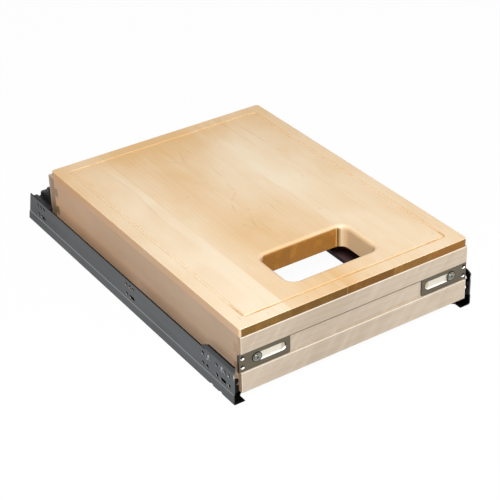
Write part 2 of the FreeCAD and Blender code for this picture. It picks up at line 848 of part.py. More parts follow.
def roller(z, y):
    half = roller_width / 2
    barrel = rod((rail_x - half, y, z), (rail_x + half, y, z), roller_radius)
    barrel = rounded(barrel, roller_round, lambda e: near(e.BoundBox.XMin, e.BoundBox.XMax))
    reach = carriage_width / 2 - trunnion_end_play
    return joined([barrel, rod((rail_x - reach, y, z), (rail_x + reach, y, z), trunnion_radius)])


def rear_hook():
    """A plate behind the box with a pin into its back, on a foot under the drawer profile's top."""
    y0 = drawer_profile_back
    y1 = y0 + hook_thickness
    high = panel_under + hook_rise
    foot_top = panel_under - steel
    foot_under = foot_top - hook_thickness
    plate = block(rail_x - hook_width / 2, rail_x + hook_width / 2, y0, y1, foot_under, high)
    plate = rounded(plate, hook_corner_radius, lambda e: runs_along(e, 1) and lies_at_z(e, high))
    pin_end = y0 - hook_pin_length
    pin = rod((rail_x, pin_end, hook_pin_z), (rail_x, y1, hook_pin_z), hook_pin_radius)
    pin = rounded(pin, hook_pin_round, lambda e: lies_at_y(e, pin_end))
    foot = block(rail_x - hook_foot_width / 2, rail_x + hook_foot_width / 2,
                 y0 - hook_foot_length, y1, foot_under, foot_top)
    holes = [rod((x, y, foot_under - past), (x, y, foot_top + past), rivet_radius)
             for x, y in hook_rivet_places()]
    return without(joined([plate, pin, foot]), holes)


def hook_rivets():
    """Rivets flush in the drawer profile's top, with round heads under the hook's foot."""
    under = panel_under - steel - hook_thickness
    head_end = under - rivet_head_height
    rivets = []
    for x, y in hook_rivet_places():
        shank = rod((x, y, under - screw_root), (x, y, panel_under), rivet_radius)
        head = rod((x, y, head_end), (x, y, under), rivet_head_radius)
        head = rounded(head, rivet_head_round, lambda e: lies_at_z(e, head_end))
        rivets.append(joined([shank, head]))
    return Part.makeCompound(rivets)


def peg_places():
    return [(damper_inner + peg_inset, damper_back - peg_inset),
            (damper_outer - peg_inset, damper_front + peg_inset)]


def peg(x, y, radius, low):
    """A peg of the damper housing, or the hole in the runner's base that it snaps into."""
    return rod((x, y, low), (x, y, steel + past), radius)


def damper_housing():
    """The plastic housing behind the box, with a fence along the runner's wall, a ridge and a knob."""
    body = block(damper_inner, damper_outer, damper_front, damper_back, steel, damper_height)
    body = rounded(body, damper_round, lambda e: lies_at_z(e, damper_height))
    ridge = block(damper_outer - ridge_width, damper_outer, damper_front, damper_back - ridge_setback,
                  damper_height - damper_round, ridge_top)
    web = block(damper_outer - damper_round, fence_inner + damper_round, damper_front,
                damper_back - fence_round, steel, fence_height - fence_round)
    fence = block(fence_inner, fence_outer, back_face - fence_lap, damper_back, steel, fence_height)
    fence = rounded(fence, fence_round, lambda e: runs_along(e, 2))
    fence = rounded(fence, fence_top_round, lambda e: lies_at_z(e, fence_height))
    pegs = [peg(x, y, peg_radius, peg_tip_gap) for x, y in peg_places()]
    bore = rod((rail_x, damper_front - past, plunger_height), (rail_x, bore_end, plunger_height),
               plunger_radius + plunger_play)
    return joined([body, web, fence, ridge, damper_knob()] + pegs).cut(bore)


def damper_knob():
    """A round-ended knob that rises in two steps towards the front, hollowed on its outer side."""
    x0 = damper_outer - knob_width
    x1 = damper_outer
    root = damper_height - damper_round
    centre_y = damper_back - knob_setback
    knob_top = knob_z + knob_top_rise
    round_end = rod((x0, centre_y, knob_z), (x1, centre_y, knob_z), knob_radius)
    steps = prism([
        (x0, damper_front, root), (x0, centre_y, root), (x0, centre_y, knob_z + knob_radius),
        (x0, centre_y - knob_shoulder_run, knob_z + knob_shoulder_rise),
        (x0, centre_y - knob_top_run, knob_top), (x0, damper_front, knob_top),
    ], (knob_width, 0, 0))
    knob = rounded(joined([round_end, steps]), knob_round,
                   lambda e: near(e.BoundBox.XMin, x1) and near(e.BoundBox.XMax, x1))
    inner = knob_radius - knob_rim
    bottom = x1 - knob_recess_depth
    recess = rod((bottom, centre_y, knob_z), (x1 + past, centre_y, knob_z), inner)
    recess_front = block(bottom, x1 + past, damper_front + knob_rim, centre_y, ridge_top, knob_z + inner)
    return without(knob, [recess, recess_front])


def damper_plunger():
    return rod((rail_x, plunger_front + plunger_tip_length, plunger_height),
               (rail_x, bore_end - plunger_end_play, plunger_height), plunger_radius)


def plunger_tip():
    tip = rod((rail_x, plunger_front, plunger_height),
              (rail_x, plunger_front + plunger_tip_length, plunger_height), plunger_tip_radius)
    return rounded(tip, plunger_tip_round, lambda e: lies_at_y(e, plunger_front))


def clip_screw_places():
    x = clip_inner + clip_screw_inset
    return [(x, clip_front + clip_screw_setback), (x, clip_back - clip_screw_setback)]


def locking_clip():
    """A plate screwed under the bottom panel, with the release lever's pivot and a guard beside it."""
    plate = block(clip_inner, clip_outer, clip_front, clip_back, clip_under, panel_under)
    plate = rounded(plate, clip_corner_radius, lambda e: runs_along(e, 2))
    root = clip_under + pivot_root
    pivot = rod((lever_x, lever_y, root), (lever_x, lever_y, lever_under - pivot_overhang), pivot_radius)
    guard = block(clip_inner, clip_inner + clip_guard, clip_front + clip_guard_inset,
                  clip_back - clip_guard_inset, lever_under, root)
    holes = [rod((x, y, clip_under - past), (x, y, panel_under + past), clip_screw_radius + pilot_play)
             for x, y in clip_screw_places()]
    return without(joined([plate, pivot, guard]), holes)


def release_lever():
    """A lever on an upright pivot: a handle in front, and a catch that enters the drawer profile."""
    half = lever_arm_width / 2
    arm_end = lever_y + lever_reach
    handle_y = lever_y - lever_handle_reach - lever_handle_lap
    handle_low = lever_under - lever_handle_drop
    boss = rod((lever_x, lever_y, lever_under), (lever_x, lever_y, lever_top), lever_boss_radius)
    arm = block(lever_x - half, lever_x + half, lever_y - lever_handle_reach, arm_end, lever_under, lever_top)
    catch = block(lever_x, drawer_profile_inner + catch_engagement, arm_end - lever_catch_length, arm_end,
                  lever_under, lever_top)
    handle = block(lever_x - lever_handle_inner, lever_x + lever_handle_outer,
                   handle_y, handle_y + lever_handle_length, handle_low, lever_top)
    handle = rounded(handle, lever_handle_round, lambda e: runs_along(e, 0) and lies_at_z(e, handle_low))
    eye = rod((lever_x, lever_y, lever_under - past), (lever_x, lever_y, lever_top + past),
              pivot_radius + pivot_play)
    return joined([boss, arm, catch, handle]).cut(eye)


def clip_screws():
    head_end = clip_under - clip_screw_head_height
    screws = []
    for x, y in clip_screw_places():
        shank = rod((x, y, clip_under - screw_root), (x, y, panel_under + clip_screw_bite), clip_screw_radius)
        head = rod((x, y, head_end), (x, y, clip_under), clip_screw_head_radius)
        head = rounded(head, clip_screw_head_round, lambda e: lies_at_z(e, head_end))
        screws.append(joined([shank, head]))
    return Part.makeCompound(screws)


# ---------------------------------------------------------------- assembly

def right_hand_pieces():
    pieces = {
        "front_bracket": front_bracket(),
        "bracket_washer": bracket_washer(),
        "bracket_screw": bracket_screw(),
        "cabinet_profile": cabinet_profile(),
        "intermediate_profile": intermediate_profile(),
        "intermediate_stops": intermediate_stops(),
        "drawer_profile": drawer_profile(),
        "rear_hook": rear_hook(),
        "hook_rivets": hook_rivets(),
        "damper_housing": damper_housing(),
        "damper_plunger": damper_plunger(),
        "plunger_tip": plunger_tip(),
        "locking_clip": locking_clip(),
        "release_lever": release_lever(),
        "clip_screws": clip_screws(),
    }
    for level, z, start in (("lower", lower_roller_z, lower_carriage_start),
                            ("upper", upper_roller_z, upper_carriage_start)):
        pieces[level + "_carriage"] = carriage(z, start)
        for end, y in zip(("front", "rear"), carriage_axles(start)):
            pieces[f"{level}_{end}_roller"] = roller(z, y)
    return pieces


def all_pieces():
    right = side_blank()
    left = mirrored(right)
    pieces = {
        "cutting_board": cutting_board(),
        "box_front": box_front([right, left]),
        "box_back": box_back([right, left]),
        "box_side_right": right.cut(bottom_blank(tongue_play)),
        "box_side_left": left.cut(bottom_blank(tongue_play)),
        "box_bottom": box_bottom(),
    }
    for name, shape in right_hand_pieces().items():
        pieces[name + "_right"] = shape
        pieces[name + "_left"] = mirrored(shape)
    return pieces


os.makedirs("parts", exist_ok=True)
for name, shape in all_pieces().items():
    shape.exportStep(f"parts/{name}.step")
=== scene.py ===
import json
import math

import bmesh
import bpy
from bpy.props import FloatProperty, FloatVectorProperty, PointerProperty
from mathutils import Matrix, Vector


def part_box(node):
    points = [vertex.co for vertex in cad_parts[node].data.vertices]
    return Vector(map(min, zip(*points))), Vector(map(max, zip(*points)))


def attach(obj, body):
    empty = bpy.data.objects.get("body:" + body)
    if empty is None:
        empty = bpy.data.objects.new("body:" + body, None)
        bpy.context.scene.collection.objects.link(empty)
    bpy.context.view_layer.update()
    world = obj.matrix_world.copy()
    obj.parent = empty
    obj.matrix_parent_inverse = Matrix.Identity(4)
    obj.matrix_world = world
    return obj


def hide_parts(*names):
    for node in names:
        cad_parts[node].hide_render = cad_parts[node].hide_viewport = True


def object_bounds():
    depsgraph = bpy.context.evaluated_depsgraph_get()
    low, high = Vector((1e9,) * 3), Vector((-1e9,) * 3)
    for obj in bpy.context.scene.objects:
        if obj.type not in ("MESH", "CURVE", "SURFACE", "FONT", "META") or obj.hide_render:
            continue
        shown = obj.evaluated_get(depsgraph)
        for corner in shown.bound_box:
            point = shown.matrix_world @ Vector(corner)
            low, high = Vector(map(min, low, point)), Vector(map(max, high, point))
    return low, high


bl_info = {
    "name": "Drawer with a cutting board lid",
    "version": (1, 0, 0),
    "blender": (4, 5, 0),
    "location": "3D View > Sidebar > Drawer",
    "description": "Finishes the woods, steels and plastics of a drawer with a cutting board lid",
    "category": "Object",
}

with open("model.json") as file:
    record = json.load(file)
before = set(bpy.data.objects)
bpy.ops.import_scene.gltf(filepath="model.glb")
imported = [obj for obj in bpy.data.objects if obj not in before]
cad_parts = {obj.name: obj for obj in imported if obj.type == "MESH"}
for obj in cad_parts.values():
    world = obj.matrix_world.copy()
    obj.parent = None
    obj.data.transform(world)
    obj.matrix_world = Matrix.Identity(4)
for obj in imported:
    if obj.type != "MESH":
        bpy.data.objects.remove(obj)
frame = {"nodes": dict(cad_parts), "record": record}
cad_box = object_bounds()

MM = 0.001
SIDES = ("left", "right")
BOX_PANELS = ("box_front", "box_back", "box_side_left", "box_side_right")


# ---- settings

def colour_setting(name, description, default):
    return FloatVectorProperty(name=name, description=description, subtype="COLOR",
                               size=3, min=0.0, max=1.0, default=default)


class DrawerWoodSettings(bpy.types.PropertyGroup):
    board_pale: colour_setting("Board, pale", "Face grain of the palest stave", (0.99, 0.825, 0.61))
    board_warm: colour_setting("Board, warm", "Face grain of the warmest stave", (0.825, 0.53, 0.25))
    board_edge: colour_setting("Board edge", "Tint of the board's two long edges", (0.74, 0.61, 0.53))
    hole_side: colour_setting("Scrap hole", "Tint of the scrap hole's two sides", (0.87, 0.78, 0.66))
    # Colour of the groove, partly a stain and partly painted shade.
    groove_stain_and_shade: colour_setting("Groove stain", "Wood in the juice groove", (0.7, 0.39, 0.15))
    box_face: colour_setting("Box front", "Face grain of the front and back panels", (0.55, 0.46, 0.36))
    box_side: colour_setting("Box sides", "Face grain of the two sides", (0.59, 0.392, 0.25))
    box_end: colour_setting("Box end grain", "Ends of the rear dovetails", (0.36, 0.24, 0.135))
    box_end_front: colour_setting("Front end grain", "Ends of the front dovetails", (0.5, 0.335, 0.205))
    # Painted shade: the bottom panel is coloured dark to stand for the shade inside the closed drawer.
    bottom_panel_shade: colour_setting("Bottom panel", "Dark facing of the bottom panel", (0.13, 0.065, 0.075))
    ring_spacing: FloatProperty(name="Ring spacing", description="Width of one year's growth",
                                default=4.2 * MM, min=0.5 * MM, max=10 * MM, subtype="DISTANCE")


class DrawerMetalSettings(bpy.types.PropertyGroup):
    runner_zinc: colour_setting("Runner", "Zinc plating of the runners", (0.105, 0.115, 0.122))
    bracket_nickel: colour_setting("Brackets", "Nickel plating of the front brackets", (0.15, 0.127, 0.092))
    screw_zinc: colour_setting("Screws", "Zinc plating of screws and rivets", (0.24, 0.245, 0.215))
    washer_dark: colour_setting("Washers", "Dark plating of the bracket washers", (0.04, 0.036, 0.028))
    ground_steel: colour_setting("Rods and rollers", "Ground and hardened steel", (0.5, 0.51, 0.52))


class DrawerPlasticSettings(bpy.types.PropertyGroup):
    housing_black: colour_setting("Housings", "Moulded black plastic", (0.01, 0.01, 0.011))
    lever_grey: colour_setting("Levers", "Moulded dark grey plastic", (0.06, 0.065, 0.07))
    carriage_grey: colour_setting("Roller carriages", "Moulded grey plastic", (0.3, 0.31, 0.32))


class DrawerStudioSettings(bpy.types.PropertyGroup):
    key_power: FloatProperty(name="Key light", description="Power of the light above the left front corner",
                             default=123.0, min=0.0, unit="POWER")
    key_size: FloatProperty(name="Key size", description="Width of the key light",
                            default=0.6, min=0.1, unit="LENGTH")
    front_power: FloatProperty(name="Front light", description="Power of the light in front, to the right",
                               default=3.0, min=0.0, unit="POWER")
    front_size: FloatProperty(name="Front size", description="Width of the front light",
                              default=1.2, min=0.1, unit="LENGTH")
    sky_level: FloatProperty(name="Sky level", description="Even light from all round",
                             default=0.26, min=0.0, max=2.0)
    floor_size: FloatProperty(name="Floor size", description="Width of the floor",
                              default=14.0, min=1.0, unit="LENGTH")
    floor_colour: colour_setting("Floor", "Paint of the floor", (0.62, 0.62, 0.62))
    floor_white: FloatProperty(name="Floor whiteness", description="How far the floor reads as plain white",
                               default=0.96, min=0.0, max=1.0, subtype="FACTOR")


# ---- material nodes

# How far the Wave texture's phase turns over one unit at a scale of one.
WAVE_RADIANS = 20


class Layout:
    """A tree of shader nodes while it is laid out. Most methods return the output that they made."""

    def __init__(self, tree):
        self.nodes = tree.nodes
        self.links = tree.links

    def put(self, value, socket):
        """A value, or a link where the value is another node's output."""
        if isinstance(value, bpy.types.NodeSocket):
            self.links.new(value, socket)
            return
        if socket.type == "RGBA" and len(value) == 3:
            value = (*value, 1.0)
        socket.default_value = value

    def node(self, kind, **inputs):
        """A new node with its inputs set, each called by its name with underscores for spaces."""
        node = self.nodes.new(f"ShaderNode{kind}")
        for name, value in inputs.items():
            self.put(value, node.inputs[name.replace("_", " ")])
        return node

    def calc(self, operation, *values, clamp=False):
        node = self.nodes.new("ShaderNodeMath")
        node.operation = operation
        node.use_clamp = clamp
        for value, socket in zip(values, node.inputs):
            self.put(value, socket)
        return node.outputs[0]

    def chain(self, operation, first, *others):
        """The same calculation over all the values, from the first to the last."""
        for other in others:
            first = self.calc(operation, first, other)
        return first

    def times(self, *values):
        return self.chain("MULTIPLY", *values)

    def plus(self, *values):
        return self.chain("ADD", *values)

    def most(self, *values):
        return self.chain("MAXIMUM", *values)

    def mix(self, factor, a, b, blend="MIX"):
        node = self.nodes.new("ShaderNodeMix")
        node.data_type = "RGBA"
        node.blend_type = blend
        for name, value in (("Factor", factor), ("A", a), ("B", b)):
            self.put(value, node.inputs[name])
        return node.outputs["Result"]

    def white_to_viewer(self, lit, white, strength):
        """The lit shader, which the camera, gloss and glass see as the white one to this strength."""
        rays = self.node("LightPath").outputs
        seen = self.most(rays["Is Camera Ray"], rays["Is Glossy Ray"], rays["Is Transmission Ray"])
        node = self.node("MixShader", Fac=self.times(seen, strength))
        self.put(lit.outputs[0], node.inputs[1])
        self.put(white.outputs[0], node.inputs[2])
        return node.outputs[0]


class Coat(Layout):
    """A material while its nodes are laid out. Places on the object are in millimetres."""

    def __init__(self, name, metallic=0.0, gloss=0.5):
        self.material = bpy.data.materials.new(name)
        self.material.use_nodes = True
        super().__init__(self.material.node_tree)
        self.shader = self.nodes["Principled BSDF"]
        self.shader.inputs["Metallic"].default_value = metallic
        self.shader.inputs["Specular IOR Level"].default_value = gloss
        self.coordinates = self.node("TexCoord").outputs

    def place(self, turn=(0, 0, 0), scale=(1, 1, 1), shift=(0, 0, 0), vector=None):
        """The object's own coordinates, or this vector, scaled, then turned, then shifted."""
        node = self.node("Mapping", Vector=vector or self.coordinates["Object"], Location=shift,
                         Rotation=[math.radians(angle) for angle in turn], Scale=scale)
        return node.outputs["Vector"]

    def noise(self, scale, detail=2.0, roughness=0.5, distortion=0.0, vector=None):
        """Noise with so many bumps to the metre, the same all ways or along X, Y and Z."""
        if not isinstance(scale, tuple):
            scale = (scale,) * 3
        node = self.node("TexNoise", Vector=self.place(scale=scale, vector=vector), Scale=1.0,
                         Detail=detail, Roughness=roughness, Distortion=distortion)
        return node.outputs["Fac"]

    def rings(self, vector, spacing, wander, tilt, detail_scale):
        """Growth rings round a heart that lies nearly along Y."""
        node = self.node("TexWave", Vector=self.place(turn=tilt, scale=(1, 0.12, 1), vector=vector),
                         Scale=2 * math.pi / WAVE_RADIANS / spacing, Distortion=wander, Detail=2.0,
                         Detail_Scale=detail_scale)
        node.wave_type = "RINGS"
        node.rings_direction = "Y"
        node.wave_profile = "SAW"
        return node.outputs["Fac"]

    def cells(self, scale, turn, vector):
        """Distance from the middle of the nearest of many scattered spots, and that spot's own chance."""
        node = self.node("TexVoronoi", Vector=self.place(turn=turn, scale=scale, vector=vector), Scale=1.0)
        return node.outputs["Distance"], self.axes(node.outputs["Color"])[0]

    def away(self, value, place=0.0):
        """Distance from this place along an axis, either way."""
        return self.calc("ABSOLUTE", self.calc("SUBTRACT", value, place))

    def fade(self, value, start, end, low=0.0, high=1.0, smooth=False):
        """Goes from low to high while the value goes from start to end."""
        node = self.node("MapRange", Value=value, From_Min=start, From_Max=end, To_Min=low, To_Max=high)
        node.interpolation_type = "SMOOTHSTEP" if smooth else "LINEAR"
        return node.outputs["Result"]

    def band(self, value, start, full, end, gone):
        """One from full to end, fading to nothing at start and at gone."""
        return self.times(self.fade(value, start, full), self.fade(value, gone, end))

    def patch(self, value, middle, core, reach):
        """One within the core of the middle, fading to nothing at the reach."""
        return self.fade(self.away(value, middle), reach, core, smooth=True)

    def lines(self, value, places, width):
        """One on the nearest of these places along an axis, fading over the width."""
        nearest = self.away(value, places[0])
        for place in places[1:]:
            nearest = self.calc("MINIMUM", nearest, self.away(value, place))
        return self.fade(nearest, width, width * 0.3)

    def steps(self, value, stops, interpolation="CONSTANT"):
        """A colour ramp with its own stops."""
        stops = sorted(stops)
        node = self.node("ValToRGB", Fac=value)
        ramp = node.color_ramp
        ramp.interpolation = interpolation
        while len(ramp.elements) < len(stops):
            ramp.elements.new(0.5)
        for element, (position, colour) in zip(ramp.elements, stops):
            element.position = position
            element.color = (*colour, 1.0)
        return node.outputs["Color"]

    def tint(self, factor, colour, tone):
        """Multiplies the colour by a tone, as far as the factor says."""
        return self.mix(factor, colour, tone, "MULTIPLY")

    def lay(self, colour, tone, *masks):
        """Lays a tone over the colour as far as all the masks let it through."""
        return self.mix(self.times(*masks), colour, tone)

    def wash(self, colour, value, start, full, strength, tone):
        """Lays a tone over the colour while the value goes from start to full, up to this strength."""
        return self.mix(self.fade(value, start, full, 0.0, strength), colour, tone)

    def axes(self, vector):
        node = self.node("SeparateXYZ", Vector=vector)
        return node.outputs["X"], node.outputs["Y"], node.outputs["Z"]

    def places(self, turn=(0, 0, 0), vector=None):
        """The object's own coordinates, or this vector, turned, in millimetres along X, Y and Z."""
        return self.axes(self.place(turn=turn, scale=(1 / MM,) * 3, vector=vector))

    def facing(self):
        """The surface normal along X, Y and Z."""
        return self.axes(self.coordinates["Normal"])

    def shifted(self, vector):
        """The object's own coordinates, moved by this vector."""
        node = self.nodes.new("ShaderNodeVectorMath")
        self.put(self.coordinates["Object"], node.inputs[0])
        self.put(vector, node.inputs[1])
        return node.outputs["Vector"]

    def paint(self, colour, roughness):
        self.put(colour, self.shader.inputs["Base Color"])
        self.put(roughness, self.shader.inputs["Roughness"])

    def bump(self, height, depth, strength):
        node = self.node("Bump", Strength=strength, Distance=depth * MM, Height=height)
        self.put(node.outputs["Normal"], self.shader.inputs["Normal"])


def shaded(tone, *shares):
    """The tone times its own share of red, green and blue, or times one share of all three."""
    if len(shares) == 1:
        shares *= 3
    return tuple(min(level * share, 1.0) for level, share in zip(tone, shares))


def dress(material, pieces):
    """Puts a material on these pieces."""
    for piece in pieces:
        piece.data.materials.clear()
        piece.data.materials.append(material)


def box_mm(node):
    """The two corners of a node's box in millimetres."""
    return [Vector(corner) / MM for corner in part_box(node)]


def nodes(*names):
    """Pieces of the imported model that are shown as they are."""
    return [frame["nodes"][name] for name in names]


def paired_nodes(*stems):
    """The left and the right piece of each of these pairs, shown as they are."""
    return nodes(*(f"{stem}_{side}" for stem in stems for side in SIDES))


# ---- modelling

EASED_ANGLE = math.radians(35)
FLAT_ANGLE = math.radians(1)
WELD = 0.002 * MM
FACING = 0.9


def hold(piece):
    """Makes this piece the active one and the only one selected."""
    bpy.ops.object.select_all(action="DESELECT")
    piece.select_set(True)
    bpy.context.view_layer.objects.active = piece


def open_mesh(piece):
    """Holds this piece and opens its mesh for editing."""
    hold(piece)
    bpy.ops.object.mode_set(mode="EDIT")
    bpy.ops.mesh.select_mode(type="FACE")


def pick(piece, chosen):
    """Selects only those faces of the open mesh whose middle and normal pass the test."""
    bpy.ops.mesh.select_all(action="DESELECT")
    mesh = bmesh.from_edit_mesh(piece.data)
    for face in mesh.faces:
        face.select_set(chosen(face.calc_center_median(), face.normal))
    bmesh.update_edit_mesh(piece.data)


def draw_out(way, size=1.0):
    """Extrudes the selected faces this way and scales their new end along X and Y."""
    bpy.ops.mesh.extrude_region_move(TRANSFORM_OT_translate={"value": way})
    if size != 1.0:
        bpy.ops.transform.resize(value=(size, size, 1.0))


def stand_for(piece, node):
    """The piece takes this node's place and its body."""
    record = frame["record"]
    body = next(name for name, members in record["behaviour"]["bodies"].items() if node in members)
    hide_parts(node)
    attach(piece, body)


def apply_modifier(piece, name, kind, **values):
    """Adds a modifier with these values to the active piece and applies it."""
    modifier = piece.modifiers.new(name, kind)
    for setting, value in values.items():
        setattr(modifier, setting, value)
    bpy.ops.object.modifier_apply(modifier=modifier.name)


def eased(node, title, width, shape=None):
    """The node's own solid as a new piece, shaped further if need be, with its sharp edges eased."""
    piece = bpy.data.objects.new(title, frame["nodes"][node].data.copy())
    bpy.context.collection.objects.link(piece)
    open_mesh(piece)
    bpy.ops.mesh.customdata_custom_splitnormals_clear()
    bpy.ops.mesh.select_all(action="SELECT")
    bpy.ops.mesh.remove_doubles(threshold=WELD)
    bpy.ops.mesh.dissolve_limited(angle_limit=FLAT_ANGLE)
    if shape:
        shape(piece)
    bpy.ops.object.mode_set(mode="OBJECT")
    apply_modifier(piece, "eased_edges", "BEVEL", width=width, segments=2, angle_limit=EASED_ANGLE)
    bpy.ops.object.shade_smooth_by_angle(angle=EASED_ANGLE)
    apply_modifier(piece, "flat_faces", "WEIGHTED_NORMAL", keep_sharp=True)
    stand_for(piece, node)
    return piece


def eased_pair(stem, title, width, shape=None):
    """The left and the right piece of a pair, each eased by so many millimetres from its own node."""
    return [eased(f"{stem}_{side}", f"{title}_{side}", width * MM, shape) for side in SIDES]


# A pan head screw's proportions: of its head's height, of its reach and of its head's radius.
HEAD_ROUNDING = 0.62
PLAIN_SHANK, POINT, THREAD_TURNS = 0.22, 0.2, 7
THREAD_CORE, POINT_TIP = 0.74, 0.16
RECESS_LENGTH, RECESS_WIDTH, RECESS_DEPTH, RECESS_TAPER = 1.15, 0.24, 0.75, 0.55


def pan_screw(title, head_radius, head_height, shank_radius, reach):
    """A pan head wood screw along Z with its seat at the origin: cross recess, threaded shank, point."""
    bpy.ops.object.select_all(action="DESELECT")
    bpy.ops.mesh.primitive_cylinder_add(vertices=48, radius=head_radius, depth=head_height,
                                        location=(0, 0, head_height / 2))
    screw = bpy.context.object
    screw.name = title
    bpy.ops.object.transform_apply(location=True)
    open_mesh(screw)
    pick(screw, lambda middle, normal: normal.z > FACING)
    bpy.ops.mesh.bevel(offset=head_height * HEAD_ROUNDING, segments=5, affect="EDGES")
    pick(screw, lambda middle, normal: normal.z < -FACING)
    bpy.ops.mesh.inset(thickness=head_radius - shank_radius)
    plain, point = reach * PLAIN_SHANK, reach * POINT
    rise = (reach - plain - point) / THREAD_TURNS / 2
    draw_out((0, 0, -plain))
    for _ in range(THREAD_TURNS):
        draw_out((0, 0, -rise), THREAD_CORE)
        draw_out((0, 0, -rise), 1 / THREAD_CORE)
    draw_out((0, 0, -point), POINT_TIP)
    bpy.ops.object.mode_set(mode="OBJECT")
    cut_cross_recess(screw, head_radius * RECESS_LENGTH, head_radius * RECESS_WIDTH, head_height)
    bpy.ops.object.shade_smooth_by_angle(angle=math.radians(40))
    return screw


def cut_cross_recess(screw, length, width, height):
    """Two crossed tapered slots sunk into the top of a screw's head."""
    for turn in (0, 90):
        bpy.ops.object.select_all(action="DESELECT")
        bpy.ops.mesh.primitive_cube_add(size=1, location=(0, 0, height), rotation=(0, 0, math.radians(turn)),
                                        scale=(length, width, height * 2 * RECESS_DEPTH))
        cutter = bpy.context.object
        open_mesh(cutter)
        pick(cutter, lambda middle, normal: normal.z < -FACING)
        bpy.ops.transform.resize(value=(RECESS_TAPER, RECESS_TAPER, 1.0))
        bpy.ops.object.mode_set(mode="OBJECT")
        hold(screw)
        apply_modifier(screw, "recess", "BOOLEAN", object=cutter)
        bpy.data.objects.remove(cutter)


def placed(source, title, turn, place):
    """A copy of a finished piece with its own mesh, turned and put in its place."""
    hold(source)
    bpy.ops.object.duplicate()
    copy = bpy.context.object
    copy.name = title
    copy.rotation_euler = [math.radians(angle) for angle in turn]
    copy.location = place
    bpy.ops.object.transform_apply(location=True, rotation=True, scale=True)
    return copy


def bracket_screws():
    """The screw in each front bracket's slot, its head on the washer."""
    low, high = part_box("bracket_screw_right")
    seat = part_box("bracket_washer_right")[0].y
    model = pan_screw("bracket_screw_model", (high.x - low.x) / 2, seat - low.y, 2.1 * MM, high.y - seat)
    screws = []
    for side, spin in zip(SIDES, (38, 17)):
        node = f"bracket_screw_{side}"
        low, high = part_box(node)
        place = ((low.x + high.x) / 2, seat, (low.z + high.z) / 2)
        screw = placed(model, f"pan_screw_{side}", (90, spin, 0), place)
        stand_for(screw, node)
        screws.append(screw)
    bpy.data.objects.remove(model)
    return screws


def clip_screw_pairs():
    """Two screws up through each locking clip, joined as one piece."""
    low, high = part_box("clip_screws_right")
    radius = (high.x - low.x) / 2
    head_height = 1.6 * MM
    reach = high.z - low.z - head_height
    model = pan_screw("clip_screw_model", radius, head_height, 1.5 * MM, reach)
    pairs = []
    for side in SIDES:
        node = f"clip_screws_{side}"
        low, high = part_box(node)
        pair = [placed(model, f"clip_screw_pair_{side}", (180, 0, spin),
                       ((low.x + high.x) / 2, y, low.z + head_height))
                for y, spin in ((low.y + radius, 24), (high.y - radius, 61))]
        for screw in pair:
            screw.select_set(True)
        bpy.ops.object.join()
        screws = bpy.context.object
        screws.name = f"clip_screw_pair_{side}"
        stand_for(screws, node)
        pairs.append(screws)
    bpy.data.objects.remove(model)
    return pairs


GRIP_PITCH = 1.2 * MM
GRIP_DEPTH = 0.7 * MM
GRIP_MARGIN = 1 * MM
FRONT_SKIN = 0.1 * MM


def press_grip(lever):
    """Grip grooves pressed into the front of the lever's handle."""
    mesh = bmesh.from_edit_mesh(lever.data)
    front = min(vertex.co.y for vertex in mesh.verts) + FRONT_SKIN
    across = [vertex.co.x for vertex in mesh.verts if vertex.co.y < front]
    left, right = min(across), max(across)
    count = int((right - left - 2 * GRIP_MARGIN) / GRIP_PITCH) // 2 * 2 - 1
    start = (left + right - count * GRIP_PITCH) / 2
    end = start + count * GRIP_PITCH

    def on_front(middle, normal):
        return normal.y < -0.95 and middle.y < front

    def in_groove(middle, normal):
        return (on_front(middle, normal) and start < middle.x < end
                and int((middle.x - start) / GRIP_PITCH) % 2 == 0)

    for i in range(count + 1):
        pick(lever, on_front)
        bpy.ops.mesh.bisect(plane_co=(start + i * GRIP_PITCH, 0, 0), plane_no=(1, 0, 0))
    pick(lever, in_groove)
    draw_out((0, GRIP_DEPTH, 0))


# ---- woods

WOOD_GLOSS = 0.25

# The board's five staves from left to right: joints in millimetres, warmth at the left and right edge of
# each, tones of the sawn end outside and in the scrap hole, the latter painted lighter against the hole's
# shade, and the rings' heart across and above.
STAVE_JOINTS = (-102.5, -17, 58, 117)
STAVE_WARMTH = ((0.32, 0.02), (0.4, 0.66), (0.64, 0.46), (0.34, 0.34), (0.36, 0.48))
STAVE_ENDS = ((0.215, 0.108, 0.018), (0.175, 0.082, 0.01), (0.19, 0.08, 0.008), (0.265, 0.128, 0.021),
              (0.3, 0.128, 0.018))
HOLE_ENDS_PAINTED_LIGHTER = ((0.42, 0.184, 0.036), (0.42, 0.184, 0.036), (0.47, 0.208, 0.042), (0.22, 0.105, 0.02),
             (0.22, 0.105, 0.02))
STAVE_HEARTS = ((-150, -70), (-38, 55), (52, 62), (96, 20), (215, 40))
HEART_REACH = 500
STAVE_SHIFT = 0.13
GLUE_LINE, GLUE_TINT = 0.5, (0.96, 0.93, 0.89)

RING_BROWN, STREAK_BROWN = (0.6, 0.36, 0.17), (0.72, 0.45, 0.2)
FLECK_BROWN, CURL_BROWN = (0.48, 0.29, 0.14), (0.46, 0.3, 0.19)
END_DARK, END_PALE, END_BRIGHT = (0.42, 0.36, 0.28), (1.4, 1.45, 1.5), (1.7, 1.9, 2.4)

# Curls in the board's grain in millimetres: from, to, half width.
CURL_MARKS = (
    ((-41, -67), (-31.5, -101), 1.7), ((-18, -59), (-30, -98), 1.4), ((-31, -48), (-20, -18), 1.3),
    ((-20, -18), (2, 3), 1.3), ((2, 3), (4, 31), 1.2), ((13, 94), (9, 46), 1.2),
    ((-13, 112), (3, 157), 1.5), ((-13, 112), (-31, 137), 1.2), ((-61.5, 27), (-60.5, 31), 2.2),
    ((116, 172), (118.5, 92), 1.6), ((121, 62), (119, 74), 1.6), ((-1, -96), (-5, -86), 1.3),
    ((21, -50), (17, -72), 1.1), ((57.5, -98), (57, -140), 0.9),
)

GROOVE_INSET_SIDE, GROOVE_INSET_END = 20.5, 20.8


